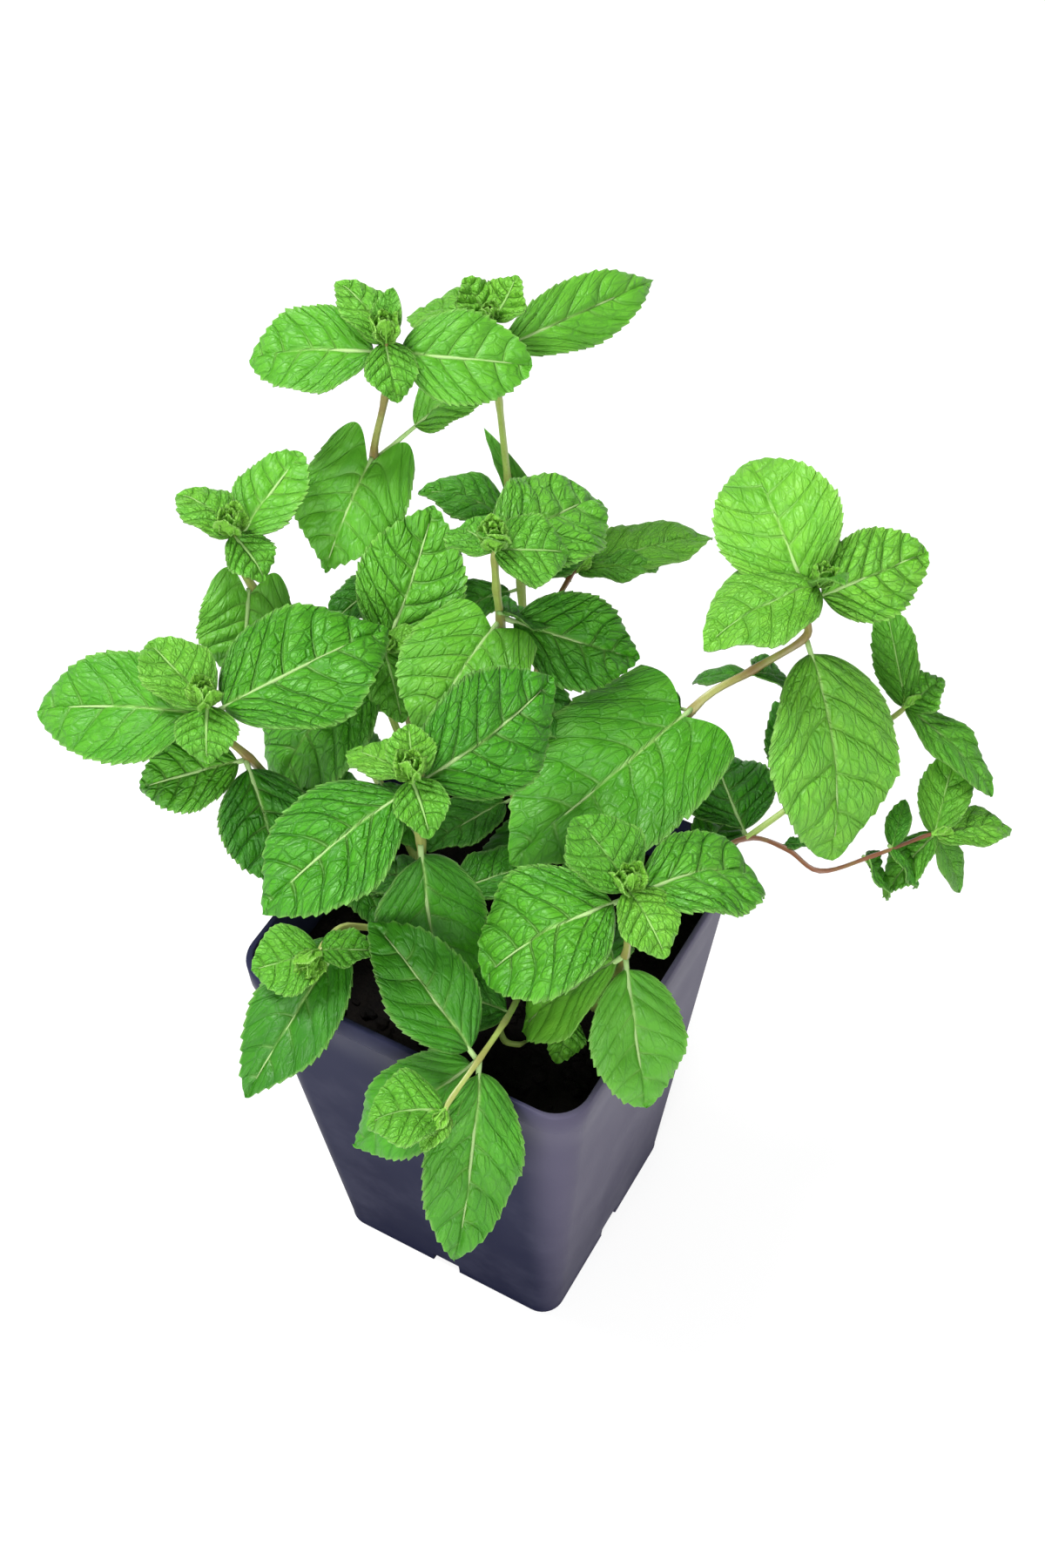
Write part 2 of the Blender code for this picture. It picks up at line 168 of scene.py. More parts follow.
# The walls of the studio are brightest low down, so that the floor has no visible end from any side.
WALL_LIGHT, CEILING_LIGHT = 0.94, 0.28
WALL_TOP = 0.7  # the upward share of the direction in which the walls have become ceiling
tree = world.node_tree
direction = add_node(tree, "TexCoord").outputs["Generated"]
upwards = add_node(tree, "SeparateXYZ", {0: direction}).outputs[2]
strength = add_node(tree, "MapRange", {
    "Value": upwards, "From Max": WALL_TOP, "To Min": WALL_LIGHT, "To Max": CEILING_LIGHT},
    interpolation_type="SMOOTHSTEP")
tree.nodes["Background"].inputs["Color"].default_value = (1, 1, 1, 1)
tree.links.new(strength.outputs[0], tree.nodes["Background"].inputs["Strength"])
LAMP_AIM = Vector((0, 0, 150)) * MM


def add_lamp(name, place, width, power):
    """A square soft lamp, its width in metres and its power in watts, aimed at the middle of the plant."""
    lamp = bpy.data.lights.new(name, "AREA")
    lamp.size = width
    lamp.energy = power
    holder = add_object(name, lamp)
    holder.location = place
    holder.rotation_euler = (LAMP_AIM - holder.location).to_track_quat("-Z", "Y").to_euler()


add_lamp("key_lamp", (-0.45, -0.1, 1.35), 0.4, 21)
add_lamp("front_lamp", (0.35, -1.1, 0.75), 0.8, 13)
add_lamp("fill_lamp", (1.1, -0.6, 0.9), 1.0, 4)

# %% [markdown]
# ## Making a piece
#
# Every piece is built as a bmesh in millimetres at its place in the plant, then scaled to metres once. A
# finished piece rides on the plant's one body and stands in for the solids that it replaces.

# %% Turn a bmesh into a piece
def make_piece(bm, name, materials, slot, *nodes):
    """An object from a bmesh in millimetres, which rides on the plant and replaces these nodes."""
    piece = add_object(name, mesh_of(bm, name))
    for material in materials:
        piece.data.materials.append(material)
    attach(piece, "root")
    if nodes:
        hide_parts(*nodes)
    return piece


def smooth_all(bm, sharp_angle=40):
    """Smooth shading, with an edge kept where faces meet at more than an angle in degrees."""
    for face in bm.faces:
        face.smooth = True
    for edge in bm.edges:
        if len(edge.link_faces) == 2 and edge.calc_face_angle(0) > math.radians(sharp_angle):
            edge.smooth = False


# %% [markdown]
# ## The pot's plastic
#
# Nursery pots are injection moulded in polypropylene with carbon black and a little blue in it. The mould's
# fine spark-eroded grain, half a millimetre from grain to grain, scatters half of the gleam, which comes
# only at a slant. Handling leaves faint paler scuffs. The side at +X is painted paler, as painted light on
# the side that faces the lamps at the right, and the colour is painted darker towards the foot, as painted
# shade.

# %% Moulded polypropylene
POT_LOW, POT_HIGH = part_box("pot")
PAINTED_LIGHT_FROM, PAINTED_LIGHT_TO = 27 * MM, 40 * MM  # along X, where the paler colour painted as light on the side facing the right begins and is full
PAINTED_LIGHT_COVER = 0.75  # how much of the plastic's own colour the painted light hides where it is full
FOOT_GLEAM, RIM_GLEAM = 0.12, 0.44  # the share of the surface that gleams, which is highest at the rim
pot_plastic, tree = new_material("polypropylene_moulded_slate")
place = add_node(tree, "TexCoord").outputs["Object"]
side, _, height = add_node(tree, "SeparateXYZ", {0: place}).outputs
# The plastic's colour is painted darker towards the foot, as painted shade.
upper = add_node(tree, "MapRange", {"Value": height, "From Max": POT_HIGH.z})
slate_with_painted_shade = add_node(tree, "Mix", {SHARE: upper, FIRST: colour("#181a2e"), SECOND: colour("#272940")},
                 data_type="RGBA")
clouds = add_node(tree, "TexNoise", {"Vector": place, "Scale": 1 / (22 * MM), "Detail": 4, "Roughness": 0.6})
scuffs = add_node(tree, "ValToRGB", {"Fac": clouds})
scuffs.color_ramp.elements[0].position = 0.48
scuffs.color_ramp.elements[1].position = 0.78
faint = add_node(tree, "Math", {0: scuffs, 1: 0.5}, operation="MULTIPLY")
scuffed = add_node(tree, "Mix", {SHARE: faint, FIRST: slate_with_painted_shade, SECOND: colour("#35364a")}, data_type="RGBA")
# The side at +X is painted paler, as painted light from the lamps at the right.
painted_light_side = add_node(tree, "MapRange", {
    "Value": side, "From Min": PAINTED_LIGHT_FROM, "From Max": PAINTED_LIGHT_TO, "To Max": PAINTED_LIGHT_COVER},
    interpolation_type="SMOOTHSTEP")
tint = add_node(tree, "Mix", {SHARE: painted_light_side, FIRST: scuffed, SECOND: colour("#585466")}, data_type="RGBA")
grain = add_node(tree, "TexNoise", {"Vector": place, "Scale": 1 / (0.5 * MM), "Detail": 2})
bump = add_node(tree, "Bump", {"Height": grain, "Strength": 0.12, "Distance": 0.1 * MM})
gleaming = add_node(tree, "BsdfPrincipled", {
    "Base Color": tint, "Roughness": 0.2, "Normal": bump, "IOR": 1.49, "Specular IOR Level": 0.05})
dull = add_node(tree, "BsdfDiffuse", {"Color": tint, "Roughness": 0.3})
share = add_node(tree, "MapRange", {
    "Value": height, "From Max": POT_HIGH.z, "To Min": FOOT_GLEAM, "To Max": RIM_GLEAM})
uneven = add_node(tree, "Math", {0: clouds, 1: 0.3, 2: -0.15}, operation="MULTIPLY_ADD")
gleam = add_node(tree, "Math", {0: share, 1: uneven})
both = add_node(tree, "MixShader", {0: gleam, 1: dull, 2: gleaming})
add_node(tree, "OutputMaterial", {0: both})
print("the plastic's finish has", len(tree.nodes), "nodes")

# %% [markdown]
# ## The pot
#
# The pot is one tapered shell 1.2 mm thick. Its section is a flat square with round corners, whose edge is
# extruded up the outside, over the rounded lip and down the inside, and widened or narrowed at each level.
# The outside has a small step to the deeper band at the rim. The rest is a plain taper, so a mould lets go.

# %% Raise the pot's wall
POT_HEIGHT = POT_HIGH.z / MM
POT_TOP_WIDTH = (POT_HIGH.x - POT_LOW.x) / MM
POT_BASE_WIDTH = 65
POT_CORNER = 6
POT_WALL = 1.2
RIM_BAND = 7
RIM_STEP = 0.6


def rounded_square(bm, width, corner, segments):
    """A flat square face with round corners, at z = 0."""
    bmesh.ops.create_grid(bm, x_segments=1, y_segments=1, size=width / 2)
    bmesh.ops.bevel(bm, geom=list(bm.verts), offset=corner, offset_type="OFFSET", affect="VERTICES",
                    segments=segments, profile=0.5, material=-1)
    return list(bm.faces)[0]


def of_kind(geom, kind):
    """The items of one kind, such as bmesh.types.BMEdge, in what an operator made."""
    return [item for item in geom if isinstance(item, kind)]


def raise_walls(bm, edges, width, levels):
    """Extrudes a loop of edges through levels of (height, width), and returns the last loop."""
    height = 0
    for next_height, next_width in levels:
        raised = bmesh.ops.extrude_edge_only(bm, edges=edges)["geom"]
        edges = of_kind(raised, bmesh.types.BMEdge)
        verts = of_kind(raised, bmesh.types.BMVert)
        bmesh.ops.scale(bm, vec=(next_width / width, next_width / width, 1), verts=verts)
        bmesh.ops.translate(bm, vec=(0, 0, next_height - height), verts=verts)
        height, width = next_height, next_width
    return edges


def wall_width(height):
    """The pot's outer width below the rim band."""
    return POT_BASE_WIDTH + (POT_TOP_WIDTH - 2 * RIM_STEP - POT_BASE_WIDTH) * height / POT_HEIGHT


band = POT_HEIGHT - RIM_BAND
# The wall is divided every few millimetres, so that its shading stays even down the long taper.
outside = [(0.25, POT_BASE_WIDTH + 0.35)] + [(h, wall_width(h)) for h in (1, 4, 12, 28, 48, 68, 88, 104)]
step = [(band - 0.9, wall_width(band - 0.9)), (band - 0.6, wall_width(band) + 0.1),
        (band - 0.2, POT_TOP_WIDTH - 0.8), (band + 0.3, POT_TOP_WIDTH - 0.5)]
lip = [(POT_HEIGHT - down, POT_TOP_WIDTH - less)
       for down, less in ((0.6, 0), (0.15, 0.2), (0, 0.6), (0, 2), (0.15, 2.4), (0.6, 2.6))]
inside = [(h, wall_width(h) - 2 * POT_WALL) for h in (band - 2, 100, 80, 60, 40, 20, 4, 2, 1.4)]
inside.append((POT_WALL, wall_width(POT_WALL) - 2 * POT_WALL - 0.6))
pot_mesh = bmesh.new()
pot_floor = rounded_square(pot_mesh, POT_BASE_WIDTH - 0.6, POT_CORNER, 10)
levels = outside + step + lip + inside
inner_edge = raise_walls(pot_mesh, list(pot_floor.edges), POT_BASE_WIDTH - 0.6, levels)
bmesh.ops.edgeloop_fill(pot_mesh, edges=inner_edge)
bmesh.ops.recalc_face_normals(pot_mesh, faces=pot_mesh.faces)
print("the pot's shell has", len(pot_mesh.faces), "faces before its foot is cut")

# %% [markdown]
# Water leaves through four holes in the floor and a notch in the middle of each foot edge. They are cut
# with a Boolean, and a small Bevel then rounds every sharp edge as a moulded edge is rounded.

# %% Cut the foot notches and the drain holes
NOTCH_WIDTH = 8
NOTCH_HEIGHT = 4
DRAIN_HOLE_RADIUS = 4
DRAIN_HOLE_OFFSET = 18


def apply_modifiers(piece):
    """Replaces a piece's mesh with what its modifiers make of it."""
    graph = bpy.context.evaluated_depsgraph_get()
    made = bpy.data.meshes.new_from_object(piece.evaluated_get(graph))
    old = piece.data
    piece.modifiers.clear()
    piece.data = made
    bpy.data.meshes.remove(old)


pot = make_piece(pot_mesh, "nursery_pot", [pot_plastic], "pot_plastic", "pot")
cutters = bmesh.new()
for x, y in ((1, 0), (-1, 0), (0, 1), (0, -1)):
    size = (NOTCH_WIDTH * (1 + abs(x)), NOTCH_WIDTH * (1 + abs(y)), 2 * NOTCH_HEIGHT, 1)
    where = Matrix.Translation((x * POT_BASE_WIDTH / 2, y * POT_BASE_WIDTH / 2, 0))
    bmesh.ops.create_cube(cutters, size=1, matrix=where @ Matrix.Diagonal(size))
for x, y in ((1, 1), (1, -1), (-1, 1), (-1, -1)):
    where = Matrix.Translation((x * DRAIN_HOLE_OFFSET, y * DRAIN_HOLE_OFFSET, 0))
    bmesh.ops.create_cone(cutters, cap_ends=True, segments=32, radius1=DRAIN_HOLE_RADIUS,
                          radius2=DRAIN_HOLE_RADIUS, depth=6 * POT_WALL, matrix=where)
cutter = add_object("foot_cutter", mesh_of(cutters, "foot_cutter"))
boolean = pot.modifiers.new("foot_cuts", "BOOLEAN")
boolean.operation = "DIFFERENCE"
boolean.solver = "EXACT"
boolean.object = cutter
apply_modifiers(pot)
bpy.data.objects.remove(cutter)
for polygon in pot.data.polygons:
    polygon.use_smooth = True
softened = pot.modifiers.new("moulded_edges", "BEVEL")
softened.width = 0.2 * MM
softened.segments = 2
softened.angle_limit = math.radians(50)
softened.harden_normals = True
apply_modifiers(pot)
bpy.context.view_layer.update()
print("the pot is", [round(side / MM, 1) for side in pot.dimensions], "mm in size")

# %% [markdown]
# ## Potting mix
#
# The mix is moist peat with a little bark: nearly black, matt, and crumbly at every size from dust to small
# crumbs. Its surface is a fine grid raised by noise of three sizes, and loose crumbs lie on it.

# %% Moist peat
peat, tree = new_material("moist_peat_crumbled")
place = add_node(tree, "TexCoord").outputs["Object"]
clods = add_node(tree, "TexNoise", {"Vector": place, "Scale": 1 / (3 * MM), "Detail": 6, "Roughness": 0.7})
browns = add_node(tree, "ValToRGB", {"Fac": clods})
for element, position, shade in zip(browns.color_ramp.elements, (0.35, 0.75), ("#040303", "#120d0a")):
    element.position = position
    element.color = colour(shade)
fibres = add_node(tree, "TexVoronoi", {"Vector": place, "Scale": 1 / (1.2 * MM)})
bump = add_node(tree, "Bump", {"Height": fibres, "Strength": 0.5, "Distance": 0.5 * MM})
shader = add_node(tree, "BsdfPrincipled", {
    "Base Color": browns, "Roughness": 0.85, "Normal": bump, "Specular IOR Level": 0.1})
add_node(tree, "OutputMaterial", {0: shader})
print("the mix's finish has", len(tree.nodes), "nodes")

# %% Fill the pot
MIX_LOW, MIX_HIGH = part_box("potting_mix")
MIX_GAP = 0.4  # kept from the pot's wall
MIX_CROWN = 1.5  # how much higher the middle stands than the edge
MIX_LUMPS = ((9, 1.0), (3.2, 0.7), (1.3, 0.35))  # the sizes of clods, crumbs and grit, and their heights
mix_top = MIX_HIGH.z / MM - MIX_CROWN
random.seed(4)
noise.seed_set(4)  # without it, noise_vector goes by the time of day


def mix_height(x, y):
    """How high the crumbly surface stands above the mix's level."""
    spot = Vector((x, y, 0))
    crown = MIX_CROWN * max(0, 1 - spot.length / 50)
    return crown + sum(noise.noise(spot / size) * height for size, height in MIX_LUMPS)


mix_mesh = bmesh.new()
mix_face = rounded_square(mix_mesh, POT_BASE_WIDTH, POT_CORNER, 8)
mix_base = wall_width(POT_WALL) - 2 * (POT_WALL + MIX_GAP)
narrowed = (mix_base / POT_BASE_WIDTH, mix_base / POT_BASE_WIDTH, 1)
bmesh.ops.scale(mix_mesh, vec=narrowed, verts=mix_mesh.verts)
mix_width = wall_width(mix_top) - 2 * (POT_WALL + MIX_GAP)
mix_edge = raise_walls(mix_mesh, list(mix_face.edges), mix_base, [(mix_top - POT_WALL - MIX_GAP, mix_width)])
top_face = bmesh.ops.edgeloop_fill(mix_mesh, edges=mix_edge)["faces"][0]
bmesh.ops.translate(mix_mesh, vec=(0, 0, POT_WALL + MIX_GAP), verts=mix_mesh.verts)
bmesh.ops.recalc_face_normals(mix_mesh, faces=mix_mesh.faces)
# The top is cut into strips both ways, which makes a grid that ends exactly at the rounded edge.
CELL = 1.1
cuts = int(mix_width / CELL)
for normal in (Vector((1, 0, 0)), Vector((0, 1, 0))):
    for index in range(1, cuts):
        point = UP * mix_top + normal * (-mix_width / 2 + index * mix_width / cuts)
        flat = [face for face in mix_mesh.faces if face.normal.z > 0.9]
        geom = flat + list({e for f in flat for e in f.edges}) + list({v for f in flat for v in f.verts})
        bmesh.ops.bisect_plane(mix_mesh, geom=geom, plane_co=point, plane_no=normal)
for vert in mix_mesh.verts:
    if vert.co.z > mix_top - 0.01:
        edge_fade = 1 if all(face.normal.z > 0.9 for face in vert.link_faces) else 0
        vert.co.z += edge_fade * mix_height(vert.co.x, vert.co.y)
smooth_all(mix_mesh, 60)
print("the mix's surface has", len(mix_mesh.faces), "faces")

# %% Scatter loose crumbs
CRUMBS = 420
CRUMB_SIZES = (0.5, 0.7, 0.9, 1.3, 2.0)
for index in range(CRUMBS):
    x, y = (random.uniform(-1, 1) * (mix_width / 2 - max(CRUMB_SIZES)) for axis in "xy")
    size = random.choice(CRUMB_SIZES)
    turn = Matrix.Rotation(random.uniform(0, math.tau), 4, Vector((random.random(), random.random(), 1)))
    shape = Matrix.Diagonal((1, random.uniform(0.5, 1), random.uniform(0.5, 0.9), 1))
    place = Matrix.Translation((x, y, mix_top + mix_height(x, y) + 0.2 * size))
    crumb = bmesh.ops.create_icosphere(mix_mesh, subdivisions=1, radius=size, matrix=place @ turn @ shape)
    for vert in crumb["verts"]:
        vert.co += noise.noise_vector(vert.co / size) * 0.3 * size
make_piece(mix_mesh, "crumbled_potting_mix", [peat], "potting_mix", "potting_mix")
print(CRUMBS, "crumbs lie on the mix")

# %% [markdown]
# ## Stems
#
# Mint is told by its square stem: four ribs with shallow flutes between them. It is pale green and a little
# glassy where it grew in shade, and flushed with reddish brown where the sun reached it and at each joint.
# A stem is swept: a squarish ring of edges is extruded along its route, point by point, and then closed.

# %% A stem's skin
stem_skin, tree = new_material("mint_stem_skin_grown")
place = add_node(tree, "TexCoord").outputs["Object"]
blush = add_node(tree, "Attribute", attribute_name="blush").outputs["Fac"]
patches = add_node(tree, "TexNoise", {"Vector": place, "Scale": 1 / (7 * MM), "Detail": 3})
patchy = add_node(tree, "Math", {0: patches, 1: 0.5}, operation="SUBTRACT")
share = add_node(tree, "Math", {0: patchy, 1: 0.9, 2: blush}, operation="MULTIPLY_ADD", use_clamp=True)
streaks = add_node(tree, "TexNoise", {"Vector": place, "Scale": 1 / (0.6 * MM), "Detail": 2})
green = add_node(tree, "Mix", {SHARE: streaks, FIRST: colour("#86a544"), SECOND: colour("#a9bd68")},
                 data_type="RGBA")
skin = add_node(tree, "Mix", {SHARE: share, FIRST: green, SECOND: colour("#74492f")}, data_type="RGBA")
bump = add_node(tree, "Bump", {"Height": streaks, "Strength": 0.15, "Distance": 0.1 * MM})
shader = add_node(tree, "BsdfPrincipled", {"Base Color": skin, "Roughness": 0.42, "Normal": bump})
add_node(tree, "OutputMaterial", {0: shader})
print("the stems' finish has", len(tree.nodes), "nodes")

# %% The stems' routes
# Each stem: its radius, its flush, and the points it grows through. Leaf pairs stand at some of them.
STEMS = {
    "tall": (1.4, 0.5, [(-30, 24, 114), (-43, 32, 140), (-53, 46, 170), (-58, 52, 192), (-58, 48, 205),
        (-55, 50, 222), (-53, 49, 236), (-53, 49, 239)]),
    "rear": (1.3, 0.0, [(-4, 26, 114), (-14, 42, 136), (-30, 66, 160), (-40, 78, 180), (-42, 78, 205),
        (-42, 76, 221), (-42, 75, 231)]),
    "west": (1.3, 0.15, [(-26, 8, 114), (-40, 12, 138), (-58, 15, 164), (-71, 14, 186), (-72, 12, 195),
        (-71, 10, 203), (-71, 10, 206)]),
    "middle": (1.4, 0.25, [(-2, 12, 114), (-6, 20, 142), (-12, 28, 172), (-14, 29, 190), (-13, 26, 203),
        (-12, 24, 214), (-12, 24, 217)]),
    "left": (1.4, 0.5, [(-28, -6, 114), (-36, -10, 135), (-44, -16, 156), (-51, -20, 172), (-54, -24, 182),
        (-55, -26, 190), (-55, -26, 193)]),
    "centre": (1.4, 0.25, [(-8, -4, 114), (-7, -12, 140), (-6, -20, 161), (-5, -22, 172), (-5, -24, 184),
        (-4, -25, 194), (-4, -25, 197)]),
    "right": (1.4, 0.55, [(14, 16, 114), (18, 28, 140), (27, 45, 166), (36, 58, 172), (44, 67, 178),
        (44, 67, 185), (44, 68, 190), (45, 69, 194)]),
    "corner": (1.3, 0.4, [(30, -6, 114), (36, -10, 132), (41, -14, 151), (42, -15, 162), (41, -14, 172),
        (41, -14, 175)]),
    "rim": (1.1, 0.2, [(12, -10, 114), (18, -22, 128), (22, -34, 138), (23, -47, 141), (22, -57, 139),
        (22, -60, 138)]),
    "low": (1.2, 0.2, [(-6, -14, 114), (-11, -22, 133), (-19, -33, 145), (-20, -40, 147), (-20, -43, 147)]),
    "runner": (0.9, 0.9, [(28, 22, 114), (36, 34, 126), (44, 44, 130), (54, 45, 131), (64, 42, 132),
        (73, 52, 132), (81, 65, 130), (83, 67, 130)]),
    "inner": (1.2, 0.0, [(-30, 24, 114), (-38, 22, 140), (-40, 18, 164), (-38, 16, 178), (-37, 16, 181)]),
    "twig": (1.0, 0.8, [(-14, 42, 136), (-22, 62, 150), (-22, 76, 158), (-21, 79, 159)]),
    "pale_sprout": (0.9, -0.3, [(13, -20, 111), (14, -23, 114.5), (17, -26, 115.5), (20, -25, 115),
        (20, -22, 112)]),
    "leafy_sprout": (0.8, -0.1, [(34.5, -9, 127), (32, -11, 122.5), (29, -13.5, 120.5), (27, -15.5, 120)]),
    "fork": (1.0, 0.1, [(44, 44, 130), (52, 56, 137), (60, 72, 146), (65, 81, 150), (66, 83, 151)]),
}
ROOTED = [name for name in STEMS if "stem_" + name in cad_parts]
FOOT_DEPTH = 12  # how far a rooted stem goes on into the mix


def smooth_route(points, steps):
    """A rounded route through the points, with a few more between each pair (a Catmull-Rom curve)."""
    points = [Vector(point) for point in points]
    ends = [2 * points[0] - points[1]] + points + [2 * points[-1] - points[-2]]
    route = []
    for before, start, end, after in zip(ends, ends[1:], ends[2:], ends[3:]):
        for step in range(steps):
            t = step / steps
            bend = (2 * before - 5 * start + 4 * end - after) * t * t
            twist = (3 * start - before - 3 * end + after) * t * t * t
            route.append(0.5 * (2 * start + (end - before) * t + bend + twist))
    return route + [points[-1]]


print(len(ROOTED), "stems rise from the mix, with", len(STEMS) - len(ROOTED), "branches and sprouts")

# %% Sweep a stem
STEM_SIDES = 16
FLUTE = 0.16  # how much the flutes between the four ribs sink, as a share of the radius


def sweep(bm, route, radii, sides, flute=0.0):
    """Sweeps a ring along a route. The ring keeps its turn from point to point, so it doesn't twist."""
    first = bmesh.ops.create_circle(bm, cap_ends=True, segments=sides, radius=1)["verts"]
    ring = [vert.co.copy() for vert in first]
    for point in ring:
        angle = math.atan2(point.y, point.x)
        point *= 1 - flute * (0.5 - 0.5 * math.cos(4 * angle))
    across = (route[1] - route[0]).orthogonal().normalized()
    verts, edges = first, list(first[0].link_faces[0].edges)
    rings = []
    for index, (place, radius) in enumerate(zip(route, radii)):
        ahead = (route[min(index + 1, len(route) - 1)] - route[max(index - 1, 0)]).normalized()
        across = (across - ahead * across.dot(ahead)).normalized()
        beside = ahead.cross(across)
        if index:
            made = bmesh.ops.extrude_edge_only(bm, edges=edges)["geom"]
            edges = of_kind(made, bmesh.types.BMEdge)
            next_of = {next(e.other_vert(vert) for e in vert.link_edges if e.other_vert(vert) in verts): vert
                       for vert in of_kind(made, bmesh.types.BMVert)}
            verts = [next_of[vert] for vert in verts]
        for vert, point in zip(verts, ring):
            vert.co = place + (across * point.x + beside * point.y) * radius
        rings.append(verts)
    bmesh.ops.edgeloop_fill(bm, edges=edges)
    return rings


FOOT_THICK, THINNING = 0.88, 0.4  # a stem's thickness at its foot and what it has lost by its end, as shares
JOINT_REACH = 2.2  # how far a joint's swelling reaches along the stem, in mm
JOINT_SWELL = 0.25  # how much thicker the stem is there
BLUSH_REACH = 4  # how far a joint's flush reaches, in mm
JOINT_BLUSH = 0.25
PALE_FOOT = 30  # up to how far above the mix the shade kept a stem pale, in mm
PALENESS = 0.3  # how much less flushed it is there, except for the runner, which creeps out into the light


def bell(distance, width):
    """1 at no distance, and falling in a bell curve to a third at the width."""
    return math.exp(-((distance / width) ** 2))


def grow_stem(name):
    """A stem or branch as a bmesh, swollen at its joints, with its flush kept on its vertices."""
    radius, flush, points = STEMS[name]
    route = smooth_route(points, 6)
    if name in ROOTED:
        route.insert(0, Vector(points[0]) - UP * FOOT_DEPTH)
    joints = [Vector(point) for point in points[2:-1]]
    radii = []
    for index, place in enumerate(route):
        swell = max(bell((place - joint).length, JOINT_REACH) for joint in joints)
        thickness = FOOT_THICK - THINNING * index / len(route)
        radii.append(radius * thickness * (1 + JOINT_SWELL * swell))
    bm = bmesh.new()
    blush_layer = bm.verts.layers.float.new("blush")
    rings = sweep(bm, route, radii, STEM_SIDES, FLUTE)
    paleness = 0 if name == "runner" else PALENESS
    for place, ring in zip(route, rings):
        near_joint = max(bell((place - joint).length, BLUSH_REACH) for joint in joints)
        near_mix = max(0, 1 - (place.z - points[0][2]) / PALE_FOOT)
        for vert in ring:
            vert[blush_layer] = flush + JOINT_BLUSH * near_joint - paleness * near_mix
    bmesh.ops.recalc_face_normals(bm, faces=bm.faces)
    smooth_all(bm)
    return bm


for name in STEMS:
    node = ["stem_" + name] if name in ROOTED else []
    piece = make_piece(grow_stem(name), name + "_stem", [stem_skin], "stem", *node)
print("the last stem has", len(piece.data.polygons), "faces")

# %% [markdown]
# ## Mint leaves: how they look
#
# A mint leaf is a living sheet about 0.3 mm thick. On its upper side the tissue domes up between sunken
# veins, like quilting, so its waxy skin catches the light in small soft patches; its furrows are painted
# dark, as painted shade.
# Only the midrib is pale, and it fades towards the point. The underside is duller and yellower. Old leaves
# near the foot are deep green, those at the top are light, and those in the bud are yellow green.
#
# The mesh keeps facts on each vertex for the finishes to read: `vein`, 1 on the pale midrib; `phase`, a
# whole number on each side vein; `youth`, from 0 for an old leaf to 1 for the bud; `crinkle`, from 0 for a
# smooth leaf to 1 for a deeply quilted one; and `on_leaf`, the place on the blade counted in pillows, which
# lets the net of cross veins follow the leaf.

# %% Leaf finishes
FACTS = ("vein", "phase", "youth", "crinkle")
THROUGH_SHARE = 0.18  # of the light that a blade lets through
YOUNG_GLOW = "#9cd444"  # the colour of light through a young blade


